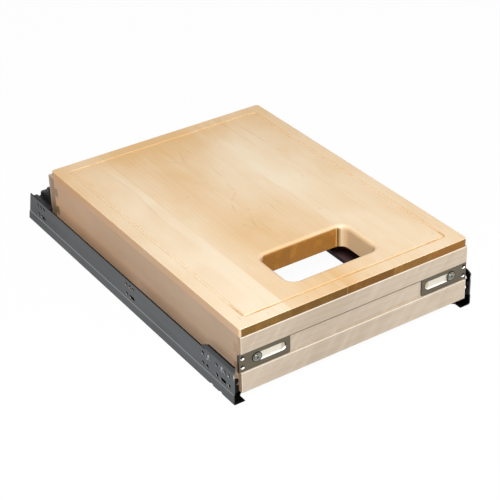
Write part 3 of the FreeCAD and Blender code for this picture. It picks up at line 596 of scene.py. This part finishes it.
def lay_grain(coat, vector, spacing, wander, tilt):
    """Figure of one solid piece of wood with its grain along Y: rings, fine streaks, clouds and flecks."""
    rings = coat.rings(vector, spacing, wander, tilt, 0.3)
    streaks = coat.noise((700, 12, 700), 4, 0.62, vector=vector)
    clouds = coat.noise((20, 9, 20), 2.5, distortion=0.4, vector=vector)
    gap, chance = coat.cells((115, 21, 115), (0, 0, 4), vector)
    ragged = coat.noise((1100, 210, 1100), vector=vector)
    flecks = coat.times(coat.fade(gap, 0.15, 0.07), coat.fade(chance, 0.6, 0.72),
                        coat.fade(ragged, 0.42, 0.58))
    return rings, streaks, clouds, flecks


def oil_wood(coat, colour, streaks, flecks, smoothest, roughest):
    """Paints the wood and lets its streaks and flecks show in the surface."""
    coat.paint(colour, coat.fade(streaks, 0.3, 0.8, smoothest, roughest))
    coat.bump(coat.plus(streaks, coat.times(flecks, 0.6)), 0.05, 0.6)


def end_mask(coat, axis, start=0.45, full=0.85):
    """One where the surface is cut across the grain."""
    return coat.fade(coat.away(coat.facing()[axis]), start, full, smooth=True)


def board_warmth(coat, staves, rings, clouds, x, y):
    """How golden the board's face grain is: by stave, more towards the back, and in a few soft patches."""
    back = coat.plus(coat.fade(y, 20, 120, 0, 0.14, smooth=True),
                     coat.fade(y, 110, 175, 0, 0.2, smooth=True),
                     coat.fade(y, 168, 178, 0, 0.12))
    back = coat.times(back, coat.fade(coat.away(x), 80, 130, 1, 0.6))
    amber = coat.times(coat.patch(x, -30, 5, 60), coat.fade(y, -20, -100, 0, 0.28))
    pale = coat.times(coat.patch(x, 45, 30, 85), coat.patch(y, 45, 50, 130), -0.3)
    first = coat.times(coat.fade(x, -100, -104), coat.fade(y, -50, 120, 0, 0.26))
    drift = coat.fade(clouds, 0.28, 0.74, 0.13, -0.17, smooth=True)
    growth = coat.fade(rings, 0, 1, -0.04, 0.06)
    return coat.calc("ADD", coat.plus(staves, back, amber, pale, first, drift), growth, clamp=True)


def board_face(coat, settings, warmth, grain, x, y):
    """Planed face of the staves: soft low figure, faint curls and brown flecks, and tinted sides."""
    rings, streaks, _, flecks = grain
    face = coat.mix(warmth, settings.board_pale, settings.board_warm)
    broken = coat.fade(coat.noise((90, 11, 90)), 0.5, 0.68)
    face = coat.lay(face, RING_BROWN, coat.fade(rings, 0.86, 0.98), broken, 0.2)
    face = coat.wash(face, streaks, 0.45, 0.75, 0.09, STREAK_BROWN)
    face = coat.lay(face, FLECK_BROWN, flecks, 0.34)
    face = coat.lay(face, CURL_BROWN, curl_marks(coat), 0.3)
    edge = coat.mix(coat.fade(y, 0, 200), settings.board_edge, Vector(settings.board_edge) * 1.12)
    outer = coat.fade(coat.away(x), 120, 130)
    sideways = coat.fade(coat.away(coat.facing()[0]), 0.5, 0.9)
    return coat.tint(sideways, face, coat.mix(outer, settings.hole_side, edge))


def curl_marks(coat):
    """One on the short faint strokes where the grain curls, fading towards their ends."""
    total = 0
    for (x0, y0), (x1, y1), width in CURL_MARKS:
        turn = math.degrees(math.atan2(x1 - x0, y1 - y0))
        middle = Vector(((x0 + x1) / 2, (y0 + y1) / 2, 0))
        reach = math.hypot(x1 - x0, y1 - y0) / 2
        across, along, _ = coat.places((0, 0, turn), coat.shifted(-middle * MM))
        stroke = coat.times(coat.fade(coat.away(across), width, 0.2 * width),
                            coat.fade(coat.away(along), reach, reach * 0.5))
        total = coat.most(total, stroke)
    return coat.times(total, coat.fade(coat.noise((500, 120, 500)), 0.3, 0.62, 0.25, 1))


def board_ends(coat, share, starts, staves, x, y, spacing):
    """Sawn ends of the staves: arcs of the growth rings and open pores, painted lighter inside the scrap
    hole against its shade.
    """
    in_hole = coat.fade(coat.away(y, scrap_hole_middle()), 60, 55)
    tone = coat.mix(in_hole, coat.steps(share, zip(starts, STAVE_ENDS)),
                    coat.steps(share, zip(starts, HOLE_ENDS_PAINTED_LIGHTER)))
    dark = coat.tint(1, tone, END_DARK)
    arcs = coat.rings(staves, spacing, 3, (1.7, 0, 1), 0.1)
    end = coat.wash(tone, arcs, 0.3, 1, 0.55, dark)
    end = coat.wash(end, coat.noise(1100, 3, 0.7), 0.45, 0.72, 0.45, dark)
    blotch = coat.noise((70, 20, 70))
    end = coat.wash(end, blotch, 0.5, 0.68, 0.35, coat.tint(1, tone, END_PALE))
    bright = coat.mix(in_hole, coat.lines(x, STAVE_JOINTS[1:3], 0.9),
                      coat.lines(x, STAVE_JOINTS[2:3], 1.2))
    return coat.mix(bright, end, coat.tint(1, tone, END_BRIGHT))


def scrap_hole_middle():
    """Where the scrap hole lies along the board, from the opening that the record states."""
    for opening in frame["record"]["physics"]["openings"]:
        if opening["name"] == "scrap_hole":
            return (opening["box_m"][0][1] + opening["box_m"][1][1]) / 2 / MM
    raise KeyError("the record states no scrap hole")


def groove_stain_and_shade(coat, x, y, z, low, high):
    """How far the juice groove is darkened, partly as a stain and partly as painted shade: most along the
    front, patchy along the back.
    """
    beside = coat.plus(coat.away(x), GROOVE_INSET_SIDE - high.x)
    ahead = coat.plus(coat.away(y, (low.y + high.y) / 2), GROOVE_INSET_END - (high.y - low.y) / 2)
    inside = coat.fade(coat.away(coat.most(beside, ahead)), 2.4, 1.3, smooth=True)
    sunk = coat.fade(z, high.z - 0.1, high.z - 0.9)
    front = coat.fade(y, low.y + 40, low.y + 60, 0.75, 0)
    back = coat.fade(y, high.y - 30, high.y - 20, 0.12, 0.45)
    patchy = coat.fade(coat.noise(60), 0.35, 0.65, 0.55, 1.25)
    return coat.times(inside, sunk, coat.plus(front, back), patchy)


def board_wood(settings):
    """Edge-glued staves, each with its own heart and tone, with a stained groove."""
    coat = Coat("edge_glued_maple", gloss=WOOD_GLOSS)
    low, high = box_mm("cutting_board")
    width = high.x - low.x
    x, y, z = coat.places()
    share = coat.fade(x, low.x, high.x)
    starts = [0] + [(joint - low.x) / width for joint in STAVE_JOINTS]
    stops = []
    for start, end, (left, right) in zip(starts, starts[1:] + [1], STAVE_WARMTH):
        stops += [(start + GLUE_LINE / width, (left,) * 3), (end - GLUE_LINE / width, (right,) * 3)]
    staves = coat.steps(share, stops, "LINEAR")
    hearts = [(0.5 - across / HEART_REACH, STAVE_SHIFT * (i + 1), 0.5 - above / HEART_REACH)
              for i, (across, above) in enumerate(STAVE_HEARTS)]
    to_heart = coat.place(shift=(-HEART_REACH / 2 * MM,) * 3, scale=(HEART_REACH * MM,) * 3,
                          vector=coat.steps(share, zip(starts, hearts)))
    placed_staves = coat.shifted(to_heart)
    grain = lay_grain(coat, placed_staves, settings.ring_spacing, 8, (1.7, 0, 1))
    rings, streaks, clouds, flecks = grain
    warmth = board_warmth(coat, staves, rings, clouds, x, y)
    face = board_face(coat, settings, warmth, grain, x, y)
    face = coat.tint(coat.lines(x, STAVE_JOINTS, GLUE_LINE), face, GLUE_TINT)
    ends = board_ends(coat, share, starts, placed_staves, x, y, settings.ring_spacing * 0.5)
    colour = coat.mix(end_mask(coat, 1, 0.72, 0.97), face, ends)
    # The groove's darkening is partly a stain and partly painted shade.
    stain_and_shade = groove_stain_and_shade(coat, x, y, z, low, high)
    oil_wood(coat, coat.mix(stain_and_shade, colour, settings.groove_stain_and_shade), streaks, flecks, 0.4, 0.54)
    return coat.material


BOX_FLECK = (0.34, 0.2, 0.11)
LAP_PINK = (0.47, 0.31, 0.225)
LAP_WIDTH = 5.5
HOLE_SHADE_BLACK = (0.012, 0.008, 0.006)

# The front panel's level across its width, as shares of the width.
FRONT_TONES = ((0, (0.97, 0.97, 0.97)), (0.25, (0.9, 0.89, 0.88)), (0.42, (0.89, 0.88, 0.87)),
               (0.62, (0.98, 0.98, 0.98)), (1, (1.08, 1.08, 1.08)))
SLANT_PALE, SLANT_DARK = (0.64, 0.56, 0.455), (0.46, 0.365, 0.275)
# Painted light and shade on the front panel, each laid at the same share: a highlight on its edges, a shadow
# under the channel's lip and light behind the bracket slots.
EDGE_HIGHLIGHT_PALE, LIP_SHADOW_DARK, SLOT_LIGHT_PALE = (0.86, 0.79, 0.68), (0.1, 0.075, 0.05), (0.74, 0.71, 0.62)
PAINTED_SHADING_SHARE = 0.75
BRACKET_SLOT_MIDDLE = 142


def front_face(coat, face):
    """The front panel's show face: slanting figure, painted highlights on its edges, a painted shadow under
    the channel's top lip and painted light behind the bracket slots.
    """
    low, high = box_mm("box_front")
    slot_low, slot_high = box_mm("front_bracket_right")
    x, y, z = coat.places()
    face = coat.tint(1, face, coat.steps(coat.fade(x, low.x, high.x), FRONT_TONES, "LINEAR"))
    slant = coat.noise((14, 80, 80), 2.5, distortion=0.5, vector=coat.place(turn=(0, 52, 0)))
    face = coat.wash(face, slant, 0.5, 0.68, 0.32, SLANT_PALE)
    face = coat.wash(face, slant, 0.48, 0.32, 0.32, SLANT_DARK)
    # Painted highlights along the top edge, the channel's lower edge and the corner edges.
    edge_highlights = coat.most(coat.lines(z, (high.z, slot_low.z - 0.4), 1.3),
                       coat.fade(coat.away(x), high.x - 1.1, high.x - 0.5))
    outside = coat.fade(y, low.y + 1.2, low.y + 0.9)
    face = coat.lay(face, EDGE_HIGHLIGHT_PALE, edge_highlights, outside, PAINTED_SHADING_SHARE)
    # A painted shadow on the channel's floor just under its top lip.
    top = slot_high.z
    face = coat.lay(face, LIP_SHADOW_DARK, coat.band(z, top - 4.6, top - 3.4, top + 0.3, top + 0.5),
                    coat.fade(y, low.y + 3, low.y + 3.6), PAINTED_SHADING_SHARE)
    # Painted light on the wood seen through the bracket slots, which the brackets would leave in shade.
    return coat.lay(face, SLOT_LIGHT_PALE, coat.patch(coat.away(x), BRACKET_SLOT_MIDDLE, 24, 26),
                    coat.patch(z, (slot_low.z + top) / 2, 6, 8), PAINTED_SHADING_SHARE)


def side_face(coat, face):
    """A side panel's face: cooler towards the front, warmer towards the back, painted paler low down against
    the shade of the runner beside it.
    """
    _, y, z = coat.places()
    face = coat.tint(coat.fade(y, 20, -220), face, (0.93, 1, 1.08))
    face = coat.tint(coat.fade(y, 20, 200), face, (1.13, 1.06, 0.99))
    # Painted light low down, where the runner's wall shades the side.
    return coat.tint(coat.fade(z, 67, 45), face, (1.34, 1.31, 1.31))


def painted_pilot_hole_shade(coat):
    """One on dark discs painted as the shade of pilot holes in the front panel, behind the brackets' outer
    holes.
    """
    low, high = box_mm("front_bracket_right")
    x, y, z = coat.places()
    above = coat.away(z, (low.z + high.z) / 2)
    from_hole = from_axis(coat, x, above, high.x - 5.6, 6.6)
    inside = coat.fade(from_hole, 3.3, 2.9)
    return coat.times(inside, coat.fade(y, low.y + 3, low.y + 2.6))


def from_axis(coat, x, z, middle_x, middle_z):
    """Distance from an axis along Y that stands at this place on either side."""
    beside = coat.plus(coat.away(x), -middle_x)
    above = coat.plus(z, -middle_z)
    return coat.calc("SQRT", coat.plus(coat.times(beside, beside), coat.times(above, above)))


def box_wood(name, settings, tone, along_x, shift):
    """Pale hardwood of one box panel, its grain running along the panel."""
    coat = Coat(f"hardwood_{name}", gloss=WOOD_GLOSS)
    vector = coat.place(turn=(0, 0, 90 if along_x else 0), shift=shift)
    spacing = settings.ring_spacing * 1.2
    rings, streaks, clouds, flecks = lay_grain(coat, vector, spacing, 9, (2.6, 0, 1.2))
    darker = shaded(tone, 0.84, 0.78, 0.7)
    face = coat.wash(tone, rings, 0.2, 1, 0.4, darker)
    face = coat.wash(face, streaks, 0.42, 0.75, 0.28, darker)
    face = coat.wash(face, clouds, 0.45, 0.7, 0.6, shaded(tone, 1.08, 1.1, 1.13))
    face = coat.lay(face, BOX_FLECK, flecks, 0.35)
    end_tone = settings.box_end_front if name == "box_front" else settings.box_end
    end = coat.wash(end_tone, rings, 0.4, 1, 0.4, shaded(end_tone, 0.55))
    if name == "box_back":
        lap = box_mm(name)[1].y - LAP_WIDTH
        end = coat.wash(end, coat.places()[1], lap, lap + 0.6, 1, LAP_PINK)
    if name == "box_front":
        face = front_face(coat, face)
    if not along_x:
        face = side_face(coat, face)
    colour = coat.mix(end_mask(coat, 0 if along_x else 1), face, end)
    if name == "box_front":
        # Dark discs painted on the front panel as the shade inside pilot holes.
        colour = coat.mix(painted_pilot_hole_shade(coat), colour, HOLE_SHADE_BLACK)
    oil_wood(coat, colour, streaks, flecks, 0.38, 0.52)
    return coat.material


PANEL_STREAK, PANEL_DUST = (0.075, 0.045, 0.045), (0.16, 0.11, 0.11)
PANEL_CORE, PANEL_CORE_WORN = (0.004, 0.003, 0.003), (0.01, 0.006, 0.005)


def shade_dark_panel(settings):
    """The bottom panel, coloured dark as painted shade of the closed drawer's inside: a faint print of
    grain, near-black core at its cut edges.
    """
    coat = Coat("shade_dark_bottom_panel", gloss=0.15)
    streaks = coat.noise((500, 9, 500), 4, 0.6)
    dust = coat.noise(140, 4, 0.65)
    face = coat.wash(settings.bottom_panel_shade, streaks, 0.35, 0.75, 0.6, PANEL_STREAK)
    face = coat.wash(face, dust, 0.55, 0.8, 0.3, PANEL_DUST)
    core = coat.wash(PANEL_CORE, streaks, 0.3, 0.7, 1, PANEL_CORE_WORN)
    colour = coat.wash(face, coat.away(coat.facing()[2]), 0.5, 0.3, 1, core)
    coat.paint(colour, coat.fade(dust, 0.3, 0.7, 0.52, 0.68))
    coat.bump(streaks, 0.03, 0.5)
    return coat.material


# ---- metals and plastics

# In millimetres: heights above the floor, the ear's rise above the wall, lengths from the rail's front
# end, depths from its outer face, and the tabs' places from the first hole.
STEP_HEIGHT = 16
HOLES_START = 18
EAR_RISE = 7
EAR_LENGTH = 62
WALL_INSIDE = 3
FIRST_HOLE = 38
TAB_PLACES = (-9.6, 21)
TAB_INSIDE = 1.75

# Painted light and shade on the rails: a highlight on the step, shade along the bottom bend, highlights on
# the hole rims with shade inside the holes, shade on the inner side, the flange and the top edge, a
# highlight on the tabs, and shade with a glint down the front edge.
STEP_HIGHLIGHT, LOWER_BAND, LOWER_BEND_SHADE = (0.27, 0.281, 0.281), (0.055, 0.058, 0.06), (0.016, 0.016, 0.017)
HOLE_RIM_HIGHLIGHT, HOLE_WALL_SHADE = (0.8, 0.83, 0.82), (0.008, 0.007, 0.006)
INSIDE_SHADE_BLACK, INNER_FLANGE_SHADE, GAP_SHADE_BLACK = (0.01, 0.009, 0.009), (0.008, 0.007, 0.007), (0.006, 0.004, 0.004)
EAR_GREY, TAB_HIGHLIGHT = (0.03, 0.03, 0.031), (0.88, 0.92, 0.9)
BEVEL_SHADE, BEVEL_HIGHLIGHT = (0.08, 0.062, 0.04), (0.95, 0.93, 0.88)
PRESSED_BRIGHT, RECESS_SHADE = (0.3, 0.31, 0.275), (0.015, 0.014, 0.012)
FRONT_EDGE_SHADE_STOPS = ((0, (0.05, 0.05, 0.05)), (0.3, (0.12, 0.12, 0.12)), (0.62, (0.16, 0.16, 0.16)),
                    (0.72, (0.6, 0.61, 0.6)), (0.8, (0.1, 0.1, 0.1)))


def runner_paint_and_shade(coat, colour):
    """The runner's fixed rail, darker towards the back and the bottom: painted highlights on the hole rims,
    step and tabs, painted shade in the holes, on the inner side, along the top edge and down the front edge.
    """
    x, y, z = coat.places()
    facing_x, facing_y, _ = coat.facing()
    low, high = box_mm("cabinet_profile_right")
    wall_top = high.z - EAR_RISE
    depth = coat.away(x)
    on_wall = coat.fade(depth, high.x - WALL_INSIDE, high.x - WALL_INSIDE + 0.6)

    colour = coat.tint(1, colour, coat.fade(y, high.y, low.y, 0.36, 0.93))
    # A painted highlight along the step's bend.
    colour = coat.mix(coat.lines(z, (STEP_HEIGHT,), 1), colour, STEP_HIGHLIGHT)
    colour = coat.wash(colour, z, 14, 10, 0.35, LOWER_BAND)
    # Painted shade along the bottom bend and the flange's edge.
    colour = coat.wash(colour, z, 4, 2.8, 0.9, LOWER_BEND_SHADE)

    # The holes' walls: a painted highlight on their outer rim and painted shade further in.
    across = coat.fade(coat.away(facing_x), 0.985, 0.9)
    in_wall = coat.band(z, HOLES_START, HOLES_START + 1, wall_top - 0.4, wall_top)
    rim = coat.fade(depth, high.x - 1.9, high.x - 1.6)
    hole_highlight_and_shade = coat.mix(rim, HOLE_WALL_SHADE, HOLE_RIM_HIGHLIGHT)
    colour = coat.lay(colour, hole_highlight_and_shade, across, on_wall, in_wall)

    # Painted shade on the rail's inner side, which faces the drawer.
    outward = coat.times(coat.calc("SIGN", x), facing_x)
    inside = coat.fade(outward, 0.1, -0.3)
    colour = coat.lay(colour, INSIDE_SHADE_BLACK, inside, coat.fade(z, 1, 1.6), 0.85)
    # Painted shade on the rail's inner flange and lip, beside the drawer side.
    colour = coat.lay(colour, INNER_FLANGE_SHADE, coat.calc("SUBTRACT", 1, on_wall),
                      coat.band(z, 17, 17.5, wall_top, wall_top + 0.5))

    # Painted shade along the wall's top edge and the ear's top, standing for the dark gap between rail and
    # drawer side.
    top_edge_gap_shade = coat.band(z, wall_top - 1.6, wall_top - 1.2, wall_top + 0.3, wall_top + 0.6)
    behind_ear = coat.fade(y, low.y + EAR_LENGTH, low.y + EAR_LENGTH + 4)
    ear_top = coat.fade(z, high.z - 1.8, high.z - 1.3)
    colour = coat.mix(coat.most(coat.times(top_edge_gap_shade, behind_ear), ear_top), colour, GAP_SHADE_BLACK)
    ear = coat.band(z, wall_top + 0.4, wall_top + 1, high.z - 1.6, high.z - 1.3)
    colour = coat.lay(colour, EAR_GREY, ear, 0.45)
    # Painted shade down the rail's front edge, with a painted glint near the top.
    edge_shading = coat.steps(coat.fade(z, 0, 60), FRONT_EDGE_SHADE_STOPS, "LINEAR")
    colour = coat.lay(colour, edge_shading, coat.fade(facing_y, -0.6, -0.8), on_wall,
                      coat.fade(y, low.y + 1, low.y + 0.6))
    # A painted highlight on the pressed tabs.
    return coat.mix(tab_highlight_mask(coat, y, z, depth, low, high), colour, TAB_HIGHLIGHT)


def tab_highlight_mask(coat, y, z, depth, low, high):
    """One on the two pressed tabs, where a painted highlight lies, brighter towards their tops."""
    beside = coat.lines(y, [low.y + FIRST_HOLE + place for place in TAB_PLACES], 6)
    upright = coat.times(coat.fade(z, 36, 42.6, 0.15, 1), coat.band(z, 34.3, 34.8, 42.9, 43.1))
    pressed_in = coat.fade(depth, high.x - TAB_INSIDE, high.x - TAB_INSIDE - 0.2)
    return coat.times(beside, upright, pressed_in)


def bracket_bevel_shading(coat, colour):
    """The bracket's bevels: a painted highlight where they face up, painted shade where they face down or
    towards -X.
    """
    facing_x, facing_y, facing_z = coat.facing()
    tilted = coat.fade(coat.away(facing_y), 0.97, 0.9)
    turned_away = coat.most(coat.fade(facing_z, -0.12, -0.35), coat.fade(facing_x, -0.12, -0.35))
    # Painted shade on bevels turned down or towards -X, then a painted highlight on bevels turned up.
    colour = coat.lay(colour, BEVEL_SHADE, tilted, turned_away)
    return coat.lay(colour, BEVEL_HIGHLIGHT, tilted, coat.fade(facing_z, 0.12, 0.35))


def from_bracket_screw(coat, x, z):
    """Distance from the bracket screw's axis on either side."""
    low, high = box_mm("bracket_screw_right")
    return from_axis(coat, x, z, (low.x + high.x) / 2, (low.z + high.z) / 2)


def washer_wear(coat, colour):
    """The bracket washers: pressed bright by the screw, with a dark outer edge."""
    x, _, z = coat.places()
    return coat.wash(colour, from_bracket_screw(coat, x, z), 6.3, 5.8, 1, PRESSED_BRIGHT)


def screw_recess_shade(coat, colour):
    """The bracket screws' cross recesses, painted dark as shade."""
    x, y, z = coat.places()
    front = box_mm("bracket_screw_right")[0].y
    # Painted shade in the cross recesses.
    return coat.lay(colour, RECESS_SHADE, coat.fade(from_bracket_screw(coat, x, z), 3.1, 2.9),
                    coat.fade(y, front + 0.25, front + 0.4))


def plated_sheet(name, tone, rolled, roughness, worn=None):
    """Plated sheet steel: faint rolling lines, a cloudy plating and fine speckle."""
    coat = Coat(name, metallic=1)
    lines = coat.noise(rolled, 3, 0.6)
    cloud = coat.noise((22, 9, 30), 3, 0.55)
    grit = coat.noise(1300, roughness=0.6)
    light = shaded(tone, 1.22)
    colour = coat.wash(tone, cloud, 0.35, 0.65, 1, light)
    colour = coat.wash(colour, cloud, 0.58, 0.75, 0.6, shaded(tone, 0.98, 0.88, 0.84))
    colour = coat.wash(colour, lines, 0.4, 0.75, 0.45, shaded(tone, 0.72))
    colour = coat.wash(colour, grit, 0.52, 0.72, 0.35, light)
    if worn:
        colour = worn(coat, colour)
    coat.paint(colour, coat.fade(cloud, 0.3, 0.7, roughness - 0.06, roughness + 0.08))
    coat.bump(coat.plus(lines, grit), 0.02, 0.5)
    return coat.material


def ground_steel(name, tone):
    """Ground steel with fine turning marks round its axis."""
    coat = Coat(name, metallic=1)
    marks = coat.noise((2600, 300, 300))
    oil = coat.noise(260, 3)
    coat.paint(coat.wash(tone, marks, 0.35, 0.7, 0.5, shaded(tone, 0.7)),
               coat.fade(oil, 0.3, 0.7, 0.16, 0.32))
    coat.bump(marks, 0.01, 0.4)
    return coat.material


def moulded(name, tone, roughness):
    """Moulded plastic with a fine spark-eroded texture and slight flow clouds."""
    coat = Coat(name, gloss=0.3)
    texture = coat.noise(1500, 3, 0.6)
    flow = coat.noise(45, 3)
    light = tuple(min(level * 1.6 + 0.004, 1) for level in tone)
    colour = coat.wash(tone, flow, 0.35, 0.7, 0.6, light)
    colour = coat.wash(colour, texture, 0.5, 0.75, 0.5, light)
    coat.paint(colour, coat.fade(flow, 0.3, 0.7, roughness - 0.05, roughness + 0.07))
    coat.bump(texture, 0.05, 0.5)
    return coat.material


# ---- operators

class DRAWER_OT_board(bpy.types.Operator):
    """Finish the edge-glued cutting board"""
    bl_idname = "drawer.board"
    bl_label = "Cutting board"

    def execute(self, context):
        dress(board_wood(context.scene.drawer_wood), nodes("cutting_board"))
        return {"FINISHED"}


class DRAWER_OT_box(bpy.types.Operator):
    """Finish the dovetailed box and its dark bottom panel"""
    bl_idname = "drawer.box"
    bl_label = "Drawer box"

    def execute(self, context):
        wood = context.scene.drawer_wood
        for i, name in enumerate(BOX_PANELS):
            along_x = name in ("box_front", "box_back")
            tone = wood.box_face if along_x else wood.box_side
            shift = (0.11 * i - 0.07, 0.3 * i, 0.06 - 0.05 * i)
            dress(box_wood(name, wood, tone, along_x, shift), nodes(name))
        dress(shade_dark_panel(wood), nodes("box_bottom"))
        return {"FINISHED"}


class DRAWER_OT_runners(bpy.types.Operator):
    """Ease and finish the runners, their rollers and their carriages"""
    bl_idname = "drawer.runners"
    bl_label = "Runners"

    def execute(self, context):
        metal = context.scene.drawer_metal
        plastic = context.scene.drawer_plastic
        rolled = (60, 8, 420)
        rail = plated_sheet("zinc_rail", metal.runner_zinc, rolled, 0.38, runner_paint_and_shade)
        dress(rail, eased_pair("cabinet_profile", "runner_rail", 0.25))
        sheet = plated_sheet("zinc_sheet", metal.runner_zinc, rolled, 0.4)
        for stem, title in (("intermediate_profile", "middle_member"), ("drawer_profile", "drawer_member"),
                            ("rear_hook", "hook_plate")):
            dress(sheet, eased_pair(stem, title, 0.22))
        rivets = plated_sheet("zinc_rivets", metal.screw_zinc, 300, 0.34)
        dress(rivets, paired_nodes("hook_rivets"))
        rollers = [f"{level}_{end}_roller" for level in ("lower", "upper") for end in ("front", "rear")]
        dress(ground_steel("roller_steel", metal.ground_steel), paired_nodes(*rollers))
        cages = moulded("carriage_moulding", plastic.carriage_grey, 0.48)
        for level in ("lower", "upper"):
            dress(cages, eased_pair(f"{level}_carriage", f"{level}_cage", 0.3))
        return {"FINISHED"}


class DRAWER_OT_brackets(bpy.types.Operator):
    """Ease and finish the slotted front brackets and model their screws"""
    bl_idname = "drawer.brackets"
    bl_label = "Front brackets"

    def execute(self, context):
        metal = context.scene.drawer_metal
        nickel = plated_sheet("nickel_sheet", metal.bracket_nickel, (40, 300, 500), 0.36, bracket_bevel_shading)
        dress(nickel, eased_pair("front_bracket", "bracket_plate", 0.25))
        washer = plated_sheet("dark_washer", metal.washer_dark, 300, 0.34, washer_wear)
        dress(washer, paired_nodes("bracket_washer"))
        zinc = plated_sheet("zinc_screws", metal.screw_zinc, 300, 0.32, screw_recess_shade)
        dress(zinc, bracket_screws() + clip_screw_pairs())
        return {"FINISHED"}


class DRAWER_OT_dampers(bpy.types.Operator):
    """Ease and finish the soft-close housings and their plungers"""
    bl_idname = "drawer.dampers"
    bl_label = "Soft-close housings"

    def execute(self, context):
        black = moulded("housing_moulding", context.scene.drawer_plastic.housing_black, 0.46)
        dress(black, eased_pair("damper_housing", "soft_close_housing", 0.5))
        dress(black, eased_pair("intermediate_stops", "end_stops", 0.3))
        dress(black, paired_nodes("plunger_tip"))
        rod = ground_steel("rod_steel", context.scene.drawer_metal.ground_steel)
        dress(rod, paired_nodes("damper_plunger"))
        return {"FINISHED"}


class DRAWER_OT_clips(bpy.types.Operator):
    """Ease and finish the locking clips and model the grips of their release levers"""
    bl_idname = "drawer.clips"
    bl_label = "Clips and levers"

    def execute(self, context):
        plastic = context.scene.drawer_plastic
        dress(moulded("clip_moulding", plastic.housing_black, 0.5),
              eased_pair("locking_clip", "clip_plate", 0.35))
        dress(moulded("lever_moulding", plastic.lever_grey, 0.46),
              eased_pair("release_lever", "grip_lever", 0.25, press_grip))
        return {"FINISHED"}


WHITE = (1.0, 1.0, 1.0, 1.0)
SUBJECT = Vector((0, -0.05, 0.08))
KEY_WAY, KEY_DISTANCE = (-0.475, -0.8, 0.81), 3.6
FRONT_WAY, FRONT_DISTANCE = (0.52, -0.72, 0.46), 1.7
CAMERA_PLACE = (-0.94184, -1.48208, 1.10934)
CAMERA_TURN = (58.0465, 1.3684, -33.8505)
CAMERA_LENS, SENSOR_WIDTH = 105.008, 36.0


def lay_floor(studio):
    """A pale matt floor under the drawer."""
    bpy.ops.object.select_all(action="DESELECT")
    bpy.ops.mesh.primitive_plane_add(size=studio.floor_size, location=(0, 0, cad_box[0][2]))
    floor = bpy.context.object
    floor.name = "floor"
    paint = Coat("floor_paint")
    paint.nodes.remove(paint.shader)
    seen = paint.node("LightPath").outputs["Is Camera Ray"]
    matt = paint.node("BsdfDiffuse", Color=paint.mix(seen, studio.floor_colour, WHITE))
    surface = paint.white_to_viewer(matt, paint.node("Emission"), studio.floor_white)
    paint.put(surface, paint.nodes["Material Output"].inputs["Surface"])
    dress(paint.material, [floor])


def light_sky(scene, level):
    """Even light from all round, seen as plain white."""
    scene.world = bpy.data.worlds.new("studio")
    scene.world.use_nodes = True
    layout = Layout(scene.world.node_tree)
    sky = layout.nodes["Background"]
    layout.put(WHITE, sky.inputs["Color"])
    layout.put(level, sky.inputs["Strength"])
    surface = layout.white_to_viewer(sky, layout.node("Background", Color=WHITE), 1.0)
    layout.put(surface, layout.nodes["World Output"].inputs["Surface"])


def hang_light(name, way, distance, power, size):
    """A square soft light at this distance from the middle of the drawer, facing it."""
    way = Vector(way).normalized()
    bpy.ops.object.light_add(type="AREA", location=SUBJECT + way * distance)
    light = bpy.context.object
    light.name = name
    light.data.size = size
    light.data.energy = power
    light.rotation_euler = way.to_track_quat("Z", "Y").to_euler()


def stand_camera(scene):
    bpy.ops.object.camera_add(location=CAMERA_PLACE)
    camera = bpy.context.object
    camera.name = "camera"
    camera.rotation_euler = [math.radians(angle) for angle in CAMERA_TURN]
    camera.data.sensor_width = SENSOR_WIDTH
    camera.data.lens = CAMERA_LENS
    scene.camera = camera


class DRAWER_OT_stage(bpy.types.Operator):
    """Set up the floor, the soft lights and the camera"""
    bl_idname = "drawer.stage"
    bl_label = "Stage"

    def execute(self, context):
        studio = context.scene.drawer_studio
        lay_floor(studio)
        light_sky(context.scene, studio.sky_level)
        hang_light("key_light", KEY_WAY, KEY_DISTANCE, studio.key_power, studio.key_size)
        hang_light("front_light", FRONT_WAY, FRONT_DISTANCE, studio.front_power, studio.front_size)
        stand_camera(context.scene)
        context.scene.view_settings.view_transform = "Standard"
        return {"FINISHED"}


class DRAWER_PT_panel(bpy.types.Panel):
    """The drawer's pieces, in the order in which they are finished"""
    bl_idname = "DRAWER_PT_panel"
    bl_label = "Drawer"
    bl_space_type = "VIEW_3D"
    bl_region_type = "UI"
    bl_category = "Drawer"

    def draw(self, context):
        for operator in OPERATORS:
            self.layout.operator(operator.bl_idname)
        for name in SETTINGS:
            group = getattr(context.scene, name)
            box = self.layout.box()
            for setting in group.__annotations__:
                box.prop(group, setting)


OPERATORS = (DRAWER_OT_board, DRAWER_OT_box, DRAWER_OT_runners, DRAWER_OT_brackets,
             DRAWER_OT_dampers, DRAWER_OT_clips, DRAWER_OT_stage)
SETTINGS = {
    "drawer_wood": DrawerWoodSettings,
    "drawer_metal": DrawerMetalSettings,
    "drawer_plastic": DrawerPlasticSettings,
    "drawer_studio": DrawerStudioSettings,
}


def register():
    for group in SETTINGS.values():
        bpy.utils.register_class(group)
    for name, group in SETTINGS.items():
        setattr(bpy.types.Scene, name, PointerProperty(type=group))
    for operator in OPERATORS:
        bpy.utils.register_class(operator)
    bpy.utils.register_class(DRAWER_PT_panel)


def unregister():
    bpy.utils.unregister_class(DRAWER_PT_panel)
    for operator in reversed(OPERATORS):
        bpy.utils.unregister_class(operator)
    for name, group in SETTINGS.items():
        delattr(bpy.types.Scene, name)
        bpy.utils.unregister_class(group)


def main():
    register()
    bpy.ops.drawer.board()
    bpy.ops.drawer.box()
    bpy.ops.drawer.runners()
    bpy.ops.drawer.brackets()
    bpy.ops.drawer.dampers()
    bpy.ops.drawer.clips()
    bpy.ops.drawer.stage()


if __name__ == "__main__":
    main()
